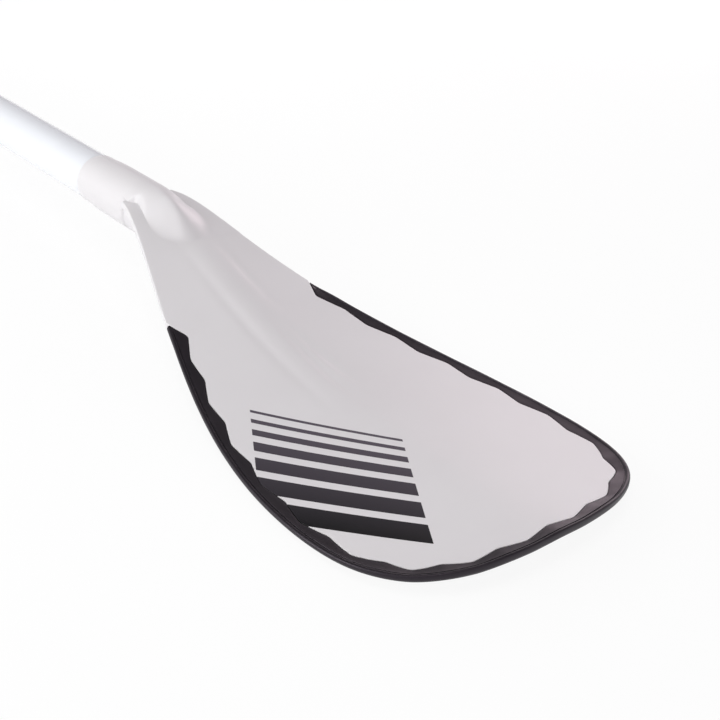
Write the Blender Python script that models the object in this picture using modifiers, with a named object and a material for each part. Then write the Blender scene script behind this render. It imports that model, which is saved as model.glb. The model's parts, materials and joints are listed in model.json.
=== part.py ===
"""Adjustable stand-up paddleboard paddle, lying on the floor with its power face up.

Everything is modelled in the shaft's own frame and hangs on one empty: X runs along
the shaft's axis towards the blade tip, Y across the blade, Z out of the power face.
X = 0 is where the black edge rail starts. The empty lays the paddle on the floor.
"""

import bisect
from math import asin, atan2, cos, hypot, pi, radians, sin, sqrt, tan

import bmesh
import bpy
from mathutils import Matrix, Vector

MM = 0.001

# Fits
GAP = 0.3 * MM  # between two faces that touch
BOND = 0.15 * MM  # around a piece that is glued or pushed into a bore
RUNNING = 0.1 * MM  # around a bolt or pin that turns
CUT_PAST = 5 * MM  # a cutter runs this far past what it cuts

# Blade outline, seen from the front
BLADE_LENGTH = 368 * MM  # from the start of the blade's web to the tip
BLADE_WIDTH = 180.6 * MM
WEB_OVER_SLEEVE = 0.7 * MM  # the web starts this much wider than the sleeve, on each side
WEB_TO_RAIL = 106.5 * MM  # from the start of the web to the start of the rail
TIP_TO_WIDEST = 85.5 * MM  # the widest place, measured back from the tip
SHOULDER_SLOPE = 0.25  # of the outline where the web starts
SHOULDER_HANDLE = 103 * MM
FLANK_HANDLE = 95 * MM
CORNER_HANDLE = 58 * MM
TIP_HANDLE = 70 * MM

# Blade heights over the shaft's axis
WEB_START_HEIGHT = 8.6 * MM
LEVEL_RUN = 5 * MM  # the web's edge stays level this far
SCOOP_DEPTH = 47.7 * MM  # of the lowest place of the edge
TIP_TO_SCOOP = 97 * MM
SCOOP_HANDLE = 169 * MM
LEVEL_HANDLE = 41 * MM
TIP_LIFT = 4.4 * MM
RIDGE_RISE = 5.5 * MM  # the soft centre ridge over the blade's edges
RIDGE_SOFTNESS = 0.15
WEB_THICKNESS = 5.2 * MM  # where the web starts
EDGE_THICKNESS = 3.6 * MM  # along the rail
RIM_LIFT = 1.3 * MM  # the rail's outer edge curls up by this
RIM_LIFT_AT_TIP = 2.6 * MM
SPINE_THICKNESS = 4 * MM  # added at the centre line near the neck
SPINE_AT_TIP = 1.5 * MM

# Blade build
SKIN = 0.8 * MM
RAIL_NARROW = 6.4 * MM  # the rail's visible width at a narrow place
RAIL_WIDE = 9.8 * MM
RAIL_TONGUE = 15 * MM  # how far the rail reaches in between the skins
RAIL_START_WIDTH = 1.6 * MM
RIM_ROUND = 1.6 * MM  # how far the rim's rounding reaches in
TOOTH_PITCH = 37.2 * MM  # of the rail's wavy inner edge
FIRST_TOOTH = 10.3 * MM
TIP_TEETH = 3  # round the tip, evenly, the last one on the centre line
SOLID_END = 5 * MM  # the skins are solid to here past the first tooth
CORE_START = 24 * MM
RAIL_LEAD = 2.5 * MM  # the skins give way to the rail this far before its start
OUTLINE_BEFORE_RAIL = 1.2 * MM  # the rail's lengths count from here
FAN_BEFORE_SCOOP = 15 * MM  # the mesh rows fan out from here to the tip
FAN_TO_TIP = 47 * MM

# Neck
SLEEVE_WALL = 1.35 * MM
SLEEVE_LENGTH = 63.5 * MM  # of round sleeve above the web
SHOULDER_RAMP = 5.5 * MM
# In front the tube runs out as a hump with a crest and a round nose. How far past the web's
# start, in millimetres, and how far the crest is then below the sleeve's top
HUMP_CREST = ((0, 0.0), (11.5, 0.1), (22.5, 1.1), (38.5, 2.5), (56.5, 4.0))
# How far past the shaft's foot, and how far the hump's foot is then outside the sleeve's radius
HUMP_FOOT = ((-2.5, -0.5), (0.4, -0.7), (1.6, -3.1), (3.0, -4.8), (5.5, -5.6), (9.0, -5.2),
             (13.6, -4.1), (18.9, -2.5), (28.3, 0.9), (34.4, 3.5), (42.1, 6.5))
HUMP_WALL_SLOPE = 3.5  # of the sides that are cut into the tube
HUMP_FOOT_EASE = 0.6 * MM
ARCH_FROM = 8.5 * MM  # from here past the web's start the tube turns into an arch
ARCH_RUN = 16 * MM
ARCH_AT_TUBE = 0.5  # power of the arch, round here and flatter at the nose
ARCH_AT_NOSE = 1.7
NOSE_EASE_FROM = 12.5 * MM
NOSE_EASE_RUN = 30 * MM
NOSE_FROM = 20.5 * MM  # past the web's start
NOSE_LENGTH = 36 * MM
CREST_BEND = 0.45
CREST_SOFTNESS = 0.12
KEEL_START = 36 * MM  # where the tube's back starts to fade, from the start of the web
KEEL_LENGTH = 44 * MM
FILLET_AT_BACK = 6 * MM  # between the keel and the web
SHAFT_PAST_WEB = 2.5 * MM  # the shaft ends this far past the start of the web

# Shafts
LOWER_WALL = 1.5 * MM
LOWER_LENGTH = 796 * MM
UPPER_OD = 28 * MM
UPPER_WALL = 1.5 * MM
SLIDE_CLEARANCE = 0.5 * MM  # between the two shafts
UPPER_LENGTH = 1020 * MM
TRAVEL = 430 * MM
LEAST_INSERTION = 105 * MM
KEYWAY_WIDTH = 4.4 * MM
KEYWAY_DEPTH = 0.8 * MM
KEYWAY_STOP = 150 * MM  # of plain tube left below the grip
BOTTOM_PLUG_LENGTH = 25 * MM

# Guide plug at the foot of the upper shaft
GUIDE_CLEARANCE = 0.15 * MM
GUIDE_STEM = 30 * MM
GUIDE_SKIRT = 16 * MM
GUIDE_STEM_CHAMFER = 1 * MM
GUIDE_SKIRT_CHAMFER = 2 * MM
SEAL_CLEARANCE = 0.05 * MM
SEAL_CORD = 1.4 * MM
SEAL_GROOVE_WIDTH = 2 * MM

# Clamp
COLLAR_ON_SHAFT = 24 * MM
COLLAR_ON_LINER = 22 * MM
COLLAR_WALL = 4.4 * MM
COLLAR_CHAMFER = 1 * MM
COLLAR_STEP = 0.8 * MM  # the ring over the liner is this much smaller in radius
COLLAR_STEP_LENGTH = 2 * MM
SPLIT_WIDTH = 3 * MM
SPLIT_BELOW_LINER = 6 * MM
LINER_WALL = 1.05 * MM
LINER_CLEARANCE = 0.15 * MM
LINER_SPLIT = 2 * MM
LINER_FLANGE = 1.5 * MM
LINER_FLANGE_RISE = 2.2 * MM
KEY_SIDE_CLEARANCE = 0.3 * MM
EAR_THICKNESS = 6 * MM
EAR_LENGTH = 18 * MM
EAR_OVER_BOLT = 7 * MM
EAR_ROUND = 2.5 * MM
BOLT_OVER_COLLAR = 6.25 * MM
BOLT_ALONG = 12 * MM  # from the end of the lower shaft
BOLT_D = 5 * MM
BOLT_CHAMFER = 0.5 * MM
BOLT_BELOW_PIN_TOP = 1 * MM
WASHER_D = 13 * MM
WASHER_THICKNESS = 1.5 * MM
NUT_D = 13 * MM
NUT_KNURL = 0.4 * MM
NUT_LENGTH = 7 * MM
NUT_FLUTES = 16
BOLT_PAST_NUT = 2 * MM
PIN_D = 8 * MM
LEVER_WIDTH = 16 * MM
FORK_CLEARANCE = 0.5 * MM  # between the bolt and each side of the lever's fork
LEVER_FORK_RADIUS = 9.5 * MM
CAM_RADIUS = 6.4 * MM
CAM_OFFSET = 0.6 * MM
CAM_ANGLE = 200  # degrees, the way the cam's centre lies from the pin
LEVER_CLEARANCE = 1.95 * MM  # between the closed lever and the collar
LEVER_HALF_THICKNESS = 2.1 * MM
LEVER_TIP_ANGLE = -38
LEVER_TIP_FLARE = 2.4 * MM

# T-grip
STEM_LENGTH = 45 * MM
STEM_SHOULDER = 3 * MM
STEM_CHAMFER = 1 * MM
GRIP_NECK = 38 * MM  # from the shaft's end to the bar's centre line
GRIP_WIDTH = 104 * MM
GRIP_BAR_D = 30.6 * MM
GRIP_END_D = 21 * MM
GRIP_DROOP = 5 * MM
COVER_WALL = 1.1 * MM  # over the core's shoulder
COVER_CUFF = 8 * MM  # of straight cover above the shaft's end
FLARE_LENGTH = 24 * MM  # of the cover's flare under the bar
CORE_BAR_D = 15 * MM
CORE_BAR_WIDTH = 76 * MM
CORE_NECK_D = 19 * MM
SCREW_FROM_TOP = 20 * MM
SCREW_HEAD_D = 6 * MM
SCREW_D = 3 * MM
SCREW_LENGTH = 9 * MM
SCREW_SUNK = 0.3 * MM
SCREW_CLEARANCE = 0.2 * MM

ROUND_STEPS = 32
SMALL_STEPS = 20

# Places along the shaft, worked out from the sizes above
WEB_START = -WEB_TO_RAIL
TIP = WEB_START + BLADE_LENGTH
SLEEVE_END = WEB_START - SLEEVE_LENGTH
SHAFT_FOOT = WEB_START + SHAFT_PAST_WEB
CLAMP_X = SHAFT_FOOT - LOWER_LENGTH
UPPER_FOOT = CLAMP_X + TRAVEL + LEAST_INSERTION
UPPER_TOP = UPPER_FOOT - UPPER_LENGTH
BAR_X = UPPER_TOP - GRIP_NECK

UPPER_R = UPPER_OD / 2
UPPER_BORE_R = UPPER_R - UPPER_WALL
LOWER_BORE_R = UPPER_R + SLIDE_CLEARANCE
LOWER_R = LOWER_BORE_R + LOWER_WALL
SLEEVE_R = LOWER_R + BOND + SLEEVE_WALL
WEB_START_R = SLEEVE_R + WEB_OVER_SLEEVE
LINER_BORE_R = UPPER_R + LINER_CLEARANCE
LINER_R = LINER_BORE_R + LINER_WALL
COLLAR_R = LOWER_R + BOND + COLLAR_WALL
LEVER_REST_RADIUS = COLLAR_R + LEVER_CLEARANCE + LEVER_HALF_THICKNESS
BOLT_HEIGHT = COLLAR_R - COLLAR_STEP + BOLT_OVER_COLLAR
EAR_TOP = BOLT_HEIGHT + EAR_OVER_BOLT
EAR_FACE = SPLIT_WIDTH / 2 + EAR_THICKNESS
CAM_FACE = EAR_FACE + GAP + WASHER_THICKNESS + GAP


def cam_reach(angle):
    """Distance from the pin's axis to the cam's surface in this direction, in degrees."""
    turn = radians(angle - CAM_ANGLE)
    return CAM_OFFSET * cos(turn) + sqrt(CAM_RADIUS**2 - (CAM_OFFSET * sin(turn)) ** 2)


PIN_OUT = CAM_FACE + cam_reach(180)


# Objects and materials

def clear_scene():
    for obj in list(bpy.data.objects):
        bpy.data.objects.remove(obj, do_unlink=True)


def new_collection(name, hidden=False):
    collection = bpy.data.collections.new(name)
    bpy.context.scene.collection.children.link(collection)
    collection.hide_render = hidden
    return collection


def finish(name, colour, roughness, metallic=0.0):
    material = bpy.data.materials.get(name)
    if material:
        return material
    material = bpy.data.materials.new(name)
    material.use_nodes = True
    shader = material.node_tree.nodes["Principled BSDF"]
    shader.inputs["Base Color"].default_value = (*colour, 1.0)
    shader.inputs["Roughness"].default_value = roughness
    shader.inputs["Metallic"].default_value = metallic
    return material


def white_gloss():
    return finish("white_coated_shaft", (0.88, 0.88, 0.9), 0.22)


def white_skin():
    return finish("white_satin_skin", (0.80, 0.79, 0.80), 0.38)


def black_rail():
    return finish("black_abs_rail", (0.012, 0.011, 0.014), 0.42)


def pale_foam():
    return finish("pale_closed_cell_foam", (0.72, 0.68, 0.55), 0.9)


def black_nylon():
    return finish("black_glass_filled_nylon", (0.018, 0.018, 0.02), 0.45)


def grey_nylon():
    return finish("grey_slippery_nylon", (0.28, 0.28, 0.3), 0.4)


def black_rubber():
    return finish("black_soft_rubber", (0.02, 0.02, 0.022), 0.75)


def stainless():
    return finish("stainless_steel", (0.62, 0.62, 0.6), 0.28, 1.0)


def place(obj, material, parent, matrix=Matrix.Identity(4), smooth=35):
    """Gives an object its finish, its parent and its place under that parent."""
    if material:
        obj.data.materials.clear()
        obj.data.materials.append(material)
    obj.parent = parent
    obj.matrix_local = matrix
    if material and smooth:
        obj.data.shade_smooth()
        obj.data.set_sharp_from_angle(angle=radians(smooth))
    return obj


def mesh_object(name, points, faces, collection):
    mesh = bpy.data.meshes.new(name)
    mesh.from_pydata([tuple(p) for p in points], [], faces)
    mesh.validate()
    obj = bpy.data.objects.new(name, mesh)
    collection.objects.link(obj)
    return obj


def as_cutter(obj):
    obj.hide_render = True
    obj.display_type = "WIRE"
    return obj


def combine(obj, other, operation):
    modifier = obj.modifiers.new(f"{operation.lower()}_{other.name}"[:60], "BOOLEAN")
    modifier.operation = operation
    modifier.solver = "EXACT"
    modifier.object = other
    return obj


def turned(name, profile, collection, steps=ROUND_STEPS, ring=False):
    """A profile of (radius, height) points, outer side top to bottom, turned about local Z."""
    count = len(profile)
    edges = [(i, i + 1) for i in range(count - 1)]
    if ring:
        edges.append((count - 1, 0))
    mesh = bpy.data.meshes.new(name)
    mesh.from_pydata([(r, 0, z) for r, z in profile], edges, [])
    obj = bpy.data.objects.new(name, mesh)
    collection.objects.link(obj)
    screw = obj.modifiers.new("turn", "SCREW")
    screw.axis = "Z"
    screw.steps = steps
    screw.render_steps = steps
    screw.use_merge_vertices = True
    screw.merge_threshold = 0.01 * MM
    return obj


def tube_profile(outer, inner, bottom, top):
    return [(outer, top), (outer, bottom), (inner, bottom), (inner, top)]


def rod_profile(radius, bottom, top):
    return [(0, top), (radius, top), (radius, bottom), (0, bottom)]


def curve_to_mesh(obj, collection):
    """The curve's evaluated shape as a closed mesh object under the same name."""
    name = obj.name
    bpy.context.view_layer.update()
    graph = bpy.context.evaluated_depsgraph_get()
    mesh = bpy.data.meshes.new_from_object(obj.evaluated_get(graph))
    matrix = obj.matrix_world.copy()
    bpy.data.objects.remove(obj, do_unlink=True)
    work = bmesh.new()
    work.from_mesh(mesh)
    bmesh.ops.remove_doubles(work, verts=work.verts, dist=0.001 * MM)
    bmesh.ops.recalc_face_normals(work, faces=work.faces)
    work.to_mesh(mesh)
    work.free()
    solid = bpy.data.objects.new(name, mesh)
    solid.matrix_world = matrix
    collection.objects.link(solid)
    return solid


def flat_piece(name, outline, thickness, collection):
    """A flat outline in local X and Y, with its thickness centred on local Z = 0."""
    curve = bpy.data.curves.new(name, "CURVE")
    curve.dimensions = "2D"
    curve.fill_mode = "BOTH"
    curve.extrude = thickness / 2
    spline = curve.splines.new("POLY")
    spline.points.add(len(outline) - 1)
    for point, (x, y) in zip(spline.points, outline):
        point.co = (x, y, 0, 1)
    spline.use_cyclic_u = True
    obj = bpy.data.objects.new(name, curve)
    collection.objects.link(obj)
    return curve_to_mesh(obj, collection)


def block(name, low, high, collection):
    """A box between two corners."""
    mesh = bpy.data.meshes.new(name)
    work = bmesh.new()
    bmesh.ops.create_cube(work, size=1)
    low, high = Vector(low), Vector(high)
    size = high - low
    middle = (high + low) / 2
    for vert in work.verts:
        vert.co = Vector(a * b for a, b in zip(vert.co, size)) + middle
    work.to_mesh(mesh)
    work.free()
    obj = bpy.data.objects.new(name, mesh)
    collection.objects.link(obj)
    return obj


# Frames for what sits on the shaft: local Z runs towards the grip, local Y out of the
# power face and local X to the paddle's left

ON_SHAFT = Matrix(((0, 0, -1, 0), (-1, 0, 0, 0), (0, 1, 0, 0), (0, 0, 0, 1)))
LEFTWARD = Matrix.Rotation(pi / 2, 4, "Y")  # turns local Z to the left


def on_shaft(x, left=0.0, up=0.0, along=0.0):
    return Matrix.Translation((x, 0, 0)) @ ON_SHAFT @ Matrix.Translation((left, up, along))


# Blade form

def smoothstep(value):
    value = min(max(value, 0.0), 1.0)
    return value * value * (3 - 2 * value)


def bezier(points, t):
    a, b, c, d = (Vector(p) for p in points)
    u = 1 - t
    return a * u**3 + b * (3 * u * u * t) + c * (3 * u * t * t) + d * t**3


def bezier_height(points, x):
    """The curve's height at this X, by halving. The curve runs steadily along X."""
    low, high = 0.0, 1.0
    for _ in range(40):
        middle = (low + high) / 2
        if bezier(points, middle).x < x:
            low = middle
        else:
            high = middle
    return bezier(points, low).y


WIDEST_X = TIP - TIP_TO_WIDEST
SCOOP_X = TIP - TIP_TO_SCOOP
SHOULDER_RUN = hypot(1, SHOULDER_SLOPE)
FLANK = (
    (WEB_START, WEB_START_R),
    (
        WEB_START + SHOULDER_HANDLE / SHOULDER_RUN,
        WEB_START_R + SHOULDER_HANDLE * SHOULDER_SLOPE / SHOULDER_RUN,
    ),
    (WIDEST_X - FLANK_HANDLE, BLADE_WIDTH / 2),
    (WIDEST_X, BLADE_WIDTH / 2),
)
CORNER = (
    (WIDEST_X, BLADE_WIDTH / 2),
    (WIDEST_X + CORNER_HANDLE, BLADE_WIDTH / 2),
    (TIP, TIP_HANDLE),
    (TIP, 0),
)
LEVEL_X = WEB_START + LEVEL_RUN
SCOOP = (
    (LEVEL_X, WEB_START_HEIGHT),
    (LEVEL_X + LEVEL_HANDLE, WEB_START_HEIGHT),
    (SCOOP_X - SCOOP_HANDLE, -SCOOP_DEPTH),
    (SCOOP_X, -SCOOP_DEPTH),
)


def outline_points():
    """The right half of the blade's outline, web start to tip, with lengths along it."""
    steps = 120
    points = [bezier(FLANK, i / steps) for i in range(steps)]
    points += [bezier(CORNER, i / steps) for i in range(steps + 1)]
    lengths = [0.0]
    for a, b in zip(points, points[1:]):
        lengths.append(lengths[-1] + (b - a).length)
    return points, lengths


OUTLINE, LENGTHS = outline_points()
RAIL_AT = next(
    length for point, length in zip(OUTLINE, LENGTHS) if point.x >= -OUTLINE_BEFORE_RAIL
)
HALF_RAIL = LENGTHS[-1] - RAIL_AT


def outline_at(along, inset=0.0):
    """A point of the outline, this far along it from the rail's start, moved inwards."""
    length = min(max(RAIL_AT + along, 0.0), LENGTHS[-1])
    i = min(bisect.bisect_right(LENGTHS, length), len(LENGTHS) - 1)
    a, b = OUTLINE[i - 1], OUTLINE[i]
    part = (length - LENGTHS[i - 1]) / (LENGTHS[i] - LENGTHS[i - 1])
    point = a.lerp(b, part)
    way = (b - a).normalized()
    if length >= LENGTHS[-1]:
        way = Vector((0, -1))
    moved = point + Vector((way.y, -way.x)) * inset
    return moved.x, max(moved.y, 0.0)


def half_width(x):
    """Half the blade's width at this X, and its widest half width past that place."""
    return BLADE_WIDTH / 2 if x >= WIDEST_X else bezier_height(FLANK, max(x, WEB_START))


def edge_height(x):
    """Height of the power face at the blade's edge."""
    if x <= LEVEL_X:
        return WEB_START_HEIGHT
    if x < SCOOP_X:
        return bezier_height(SCOOP, x)
    return -SCOOP_DEPTH + TIP_LIFT * ((x - SCOOP_X) / TIP_TO_SCOOP) ** 2


def face_height(x, y):
    """Height of the power face, with its soft centre ridge."""
    share = min(abs(y) / half_width(x), 1.0)
    soft = RIDGE_SOFTNESS
    ridge = (hypot(1, soft) - hypot(share, soft)) / (hypot(1, soft) - soft)
    return edge_height(x) + RIDGE_RISE * smoothstep((x - WEB_START) / WEB_TO_RAIL) * ridge


def thickness(x):
    """Thickness of the blade at its edge."""
    part = smoothstep((x - WEB_START) / WEB_TO_RAIL)
    return WEB_THICKNESS + (EDGE_THICKNESS - WEB_THICKNESS) * part


def back_height(x, y):
    """Height of the back face."""
    share = min(abs(y) / half_width(x), 1.0)
    to_tip = smoothstep(x / TIP)
    spine = SPINE_THICKNESS * (1 - to_tip) + SPINE_AT_TIP * to_tip
    spine *= smoothstep((x - WEB_START) / WEB_TO_RAIL)
    return face_height(x, y) - thickness(x) - spine * (1 - share * share)


def parting_height(x):
    """Where the front and back mouldings of the neck meet."""
    ramp = smoothstep((x - WEB_START + SHOULDER_RAMP) / SHOULDER_RAMP)
    return ramp * (edge_height(x) - thickness(x) / 2)


# Neck sections. In front: the hump's top, its side and the flat web.
# Behind: an arc round the shaft, a fillet and the flat web.

HUMP_TOP_STEPS = 5
HUMP_SIDE_STEPS = 5
ARC_STEPS = 5
FILLET_STEPS = 2
WEB_STEPS = 2
FRONT_COLUMNS = HUMP_TOP_STEPS + HUMP_SIDE_STEPS + WEB_STEPS
BACK_COLUMNS = ARC_STEPS + FILLET_STEPS + WEB_STEPS
SLEEVE_LAST_ANGLE = 6
LEAST_WEB = 1 * MM  # of flat web left beside the hump or the fillet
LEAST_HUMP = 5 * MM  # columns of points keep at least this far out


def sleeve_section(side):
    """A quarter of the round sleeve, from its crown (side 1) or its foot (side -1)."""
    section = []
    columns = FRONT_COLUMNS if side > 0 else BACK_COLUMNS
    for j in range(columns + 1):
        angle = radians(90 + (SLEEVE_LAST_ANGLE - 90) * j / columns)
        section.append((SLEEVE_R * cos(angle), side * SLEEVE_R * sin(angle)))
    return section


def keel_rise(x, rise):
    """How far the back stands out of the web, where a whole tube would by this rise."""
    return rise * (1 - smoothstep((x - WEB_START - KEEL_START) / KEEL_LENGTH))


def from_table(table, along):
    """The table's value this far along, in metres, with straight steps between its lines."""
    places = [place * MM for place, _ in table]
    i = min(max(bisect.bisect_right(places, along), 1), len(table) - 1)
    part = min(max((along - places[i - 1]) / (places[i] - places[i - 1]), 0.0), 1.0)
    return (table[i - 1][1] + (table[i][1] - table[i - 1][1]) * part) * MM


def hump_crest(x):
    return SLEEVE_R - from_table(HUMP_CREST, x - WEB_START)


def hump_foot(x):
    return SLEEVE_R + from_table(HUMP_FOOT, x - SHAFT_FOOT)


def past_nose(x):
    """0 until the nose starts to close and 1 at its end."""
    return min(max((x - WEB_START - NOSE_FROM) / NOSE_LENGTH, 0.0), 1.0)


def hump_rise(x, y):
    """How far the hump stands out of the web: a tube at first, then an arch with a crest."""
    past = past_nose(x)
    if past >= 1:
        return 0.0
    foot = hump_foot(x)
    share = min(hypot(y / foot, past), 1.0)
    power = smoothstep((x - WEB_START - NOSE_EASE_FROM) / NOSE_EASE_RUN)
    power = ARCH_AT_TUBE + (ARCH_AT_NOSE - ARCH_AT_TUBE) * power
    bend = CREST_BEND * (hypot(y / SLEEVE_R, CREST_SOFTNESS) - CREST_SOFTNESS)
    height = hump_crest(x) - face_height(x, 0.0)
    arch = height * (1 - share * share) ** power * (1 - bend)
    tube = max(sqrt(max(SLEEVE_R**2 - y * y, 0.0)) - face_height(x, y), 0.001 * MM)
    wall = max(HUMP_WALL_SLOPE * (foot * sqrt(1 - past * past) - y), 0.001 * MM)
    tube = tube * wall / (tube**4 + wall**4) ** 0.25
    rise = tube + (arch - tube) * smoothstep((x - WEB_START - ARCH_FROM) / ARCH_RUN)
    return (rise + hypot(rise, HUMP_FOOT_EASE)) / 2 * (1 - smoothstep(past * 10 - 9))


def hump_section(x):
    """Half a section of the neck's front, from its crest down to the web's edge."""
    width = half_width(x)
    foot = hump_foot(x) * sqrt(1 - past_nose(x) ** 2)
    foot = max(min(foot, width - LEAST_WEB), LEAST_HUMP)
    inside, outside = 0.8 * foot, min(foot + LEAST_WEB, width - LEAST_WEB / 2)
    ways = [inside * i / HUMP_TOP_STEPS for i in range(HUMP_TOP_STEPS)]
    ways += [inside + (outside - inside) * i / HUMP_SIDE_STEPS for i in range(HUMP_SIDE_STEPS)]
    ways += [outside + (width - outside) * i / WEB_STEPS for i in range(WEB_STEPS + 1)]
    return [(y, face_height(x, y) + hump_rise(x, y)) for y in ways]


def neck_section(x, side):
    """Half a section of the neck's front (side 1) or back (side -1), centre to edge."""
    if side > 0:
        return hump_section(x)
    width = half_width(x)
    web = back_height
    level = side * web(x, width)
    reach = FILLET_AT_BACK
    radius = SLEEVE_R
    lift = min(max((level + reach) / radius, 0.05), 0.9)
    last = asin(lift)
    inner = radius * cos(last)
    bend = min(inner + max(radius * lift - level, 0) * tan(last), width - LEAST_WEB)
    outer = min(bend + 0.8 * reach, width - LEAST_WEB / 2)
    section = []
    for j in range(ARC_STEPS + 1):
        angle = pi / 2 + (last - pi / 2) * j / ARC_STEPS
        y = radius * cos(angle)
        flat = side * web(x, y)
        rise = max(radius * sin(angle) - flat, 0.0)
        section.append((y, side * (flat + keel_rise(x, rise))))
    start = Vector((inner, side * section[-1][1]))
    for j in range(1, FILLET_STEPS + 1):
        t = j / FILLET_STEPS
        mid = Vector((bend, side * web(x, bend)))
        end = Vector((outer, side * web(x, outer)))
        point = start * (1 - t) ** 2 + mid * (2 * t * (1 - t)) + end * t * t
        section.append((point.x, side * point.y))
    for j in range(1, WEB_STEPS + 1):
        y = outer + (width - outer) * j / WEB_STEPS
        section.append((y, web(x, y)))
    return section


# Rail and the stations along the blade's edge

SIDE_TEETH = int((HALF_RAIL - FIRST_TOOTH) / TOOTH_PITCH - TIP_TEETH + 0.5)
TIP_PITCH = (HALF_RAIL - FIRST_TOOTH - SIDE_TEETH * TOOTH_PITCH) / TIP_TEETH
TOOTH_AT = [FIRST_TOOTH + i * TOOTH_PITCH for i in range(SIDE_TEETH + 1)]
TOOTH_AT += [TOOTH_AT[SIDE_TEETH] + i * TIP_PITCH for i in range(1, TIP_TEETH + 1)]
VALLEY_AT = [(a + b) / 2 for a, b in zip(TOOTH_AT, TOOTH_AT[1:])]


def rail_width(along):
    """The rail's visible width: wide at each tooth, narrow half way between two."""
    if along <= FIRST_TOOTH:
        part = max(along, 0.0) / FIRST_TOOTH
        return RAIL_START_WIDTH + (RAIL_WIDE - RAIL_START_WIDTH) * part
    knots = sorted(TOOTH_AT + VALLEY_AT)
    i = min(bisect.bisect_right(knots, along), len(knots) - 1)
    part = (along - knots[i - 1]) / (knots[i] - knots[i - 1])
    rising = knots[i] in TOOTH_AT
    part = part if rising else 1 - part
    return RAIL_NARROW + (RAIL_WIDE - RAIL_NARROW) * part


def rail_stations():
    """Places along the outline where the rail's edge turns, closer together at the tip."""
    knots = sorted(TOOTH_AT + VALLEY_AT)
    stations = [0.0, knots[0], knots[0] + SOLID_END, knots[0] + SOLID_END + GAP * 4]
    return stations + knots[1:]


def tip_stations():
    """Places half way between those above, where the outline turns at the tip."""
    return [(a + b) / 2 for a, b in zip(STATIONS, STATIONS[1:]) if a > TOOTH_AT[-6]]


STATIONS = rail_stations()
FAN_START = SCOOP_X - FAN_BEFORE_SCOOP
FAN_END = TIP - FAN_TO_TIP


def blade_row(along, inset, columns):
    """Points from the centre line out to the outline, less the inset. They fan out at the tip."""
    x, y = outline_at(along, inset)
    if along >= STATIONS[-1] - 0.01 * MM:
        y = 0.0
    centre = x
    if x > FAN_START:
        fan = (x - FAN_START) / (TIP - FAN_START)
        centre = FAN_START + (FAN_END - FAN_START) * fan
    row = []
    for j in range(columns + 1):
        part = j / columns
        row.append((centre + (x - centre) * part, y * part))
    return row


def half_slab(name, tops, bottoms, collection):
    """A closed half between two grids of rows, open on the plane Y = 0 for its mirror."""
    rows, columns = len(tops), len(tops[0])
    points = [p for row in tops for p in row] + [p for row in bottoms for p in row]
    below = rows * columns

    def at(i, j, under=False):
        return i * columns + j + (below if under else 0)

    faces = []
    for i in range(rows - 1):
        for j in range(columns - 1):
            faces.append((at(i, j), at(i + 1, j), at(i + 1, j + 1), at(i, j + 1)))
            faces.append(
                (at(i, j, 1), at(i, j + 1, 1), at(i + 1, j + 1, 1), at(i + 1, j, 1))
            )
        edge = columns - 1
        faces.append((at(i, edge), at(i + 1, edge), at(i + 1, edge, 1), at(i, edge, 1)))
    for j in range(columns - 1):
        faces.append((at(0, j), at(0, j + 1), at(0, j + 1, 1), at(0, j, 1)))
    obj = mesh_object(name, points, faces, collection)
    work = bmesh.new()
    work.from_mesh(obj.data)
    bmesh.ops.remove_doubles(work, verts=work.verts, dist=0.001 * MM)
    work.to_mesh(obj.data)
    work.free()
    return add_mirror(obj)


def add_mirror(obj):
    mirror = obj.modifiers.new("other_half", "MIRROR")
    mirror.use_axis = (False, True, False)
    mirror.merge_threshold = 0.005 * MM
    return obj


NECK_STEPS_IN_FRONT = 18
NECK_STEPS_BEHIND = 12
SLEEVE_ROWS = 2


def neck_places(side):
    """Where the neck's sections stand, closer together where the hump's sides are cut in."""
    steps = NECK_STEPS_IN_FRONT if side > 0 else NECK_STEPS_BEHIND
    run = KEEL_START + KEEL_LENGTH
    places = [WEB_START + run * i / steps for i in range(steps + 1)]
    if side < 0:
        return places
    cut_in = [SHAFT_FOOT + at * MM for at, _ in HUMP_FOOT[1:6]]
    return [WEB_START] + cut_in + [x for x in places if x > cut_in[-1] + run / steps / 2]


def skin_rows(side):
    """Outer and inner grids of one skin: side 1 is the power face, side -1 the back."""
    web = face_height if side > 0 else back_height
    outers, inners = [], []
    parting = side * GAP / 2
    ramp_x = WEB_START - SHOULDER_RAMP
    for i in range(SLEEVE_ROWS + 1):
        x = SLEEVE_END + (ramp_x - SLEEVE_END) * i / SLEEVE_ROWS
        section = sleeve_section(side)
        outers.append([(x, y, z) for y, z in section])
        widths = [y for y, _ in section[:-1]] + [SLEEVE_R]
        inners.append([(x, y, parting) for y in widths])
    last_neck = outline_at(-RAIL_LEAD)[0]
    columns = FRONT_COLUMNS if side > 0 else BACK_COLUMNS
    places = neck_places(side)
    for x in places:
        section = neck_section(x, side)
        outers.append([(x, y, z) for y, z in section])
        inners.append([(x, y, parting_height(x) + parting) for y, _ in section])
    x = (places[-1] + last_neck) / 2
    row = [half_width(x) * j / columns for j in range(columns + 1)]
    outers.append([(x, y, web(x, y)) for y in row])
    inners.append([(x, y, parting_height(x) + parting) for y in row])
    row = blade_row(-RAIL_LEAD, 0.0, columns)
    outers.append([(x, y, web(x, y)) for x, y in row])
    inners.append([(x, y, parting_height(x) + parting) for x, y in row])
    for along in STATIONS[1:]:
        row = blade_row(along, rail_width(along) + GAP, columns)
        outers.append([(x, y, web(x, y)) for x, y in row])
        if along <= FIRST_TOOTH + 0.01 * MM:
            inners.append([(x, y, parting_height(x) + parting) for x, y in row])
        else:
            inners.append([(x, y, web(x, y) - side * SKIN) for x, y in row])
    return outers, inners


def neck_socket(cutters):
    depth = SHAFT_FOOT - SLEEVE_END
    return turned("cut_neck_socket", rod_profile(LOWER_R + BOND, 0, depth + CUT_PAST), cutters)


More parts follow.
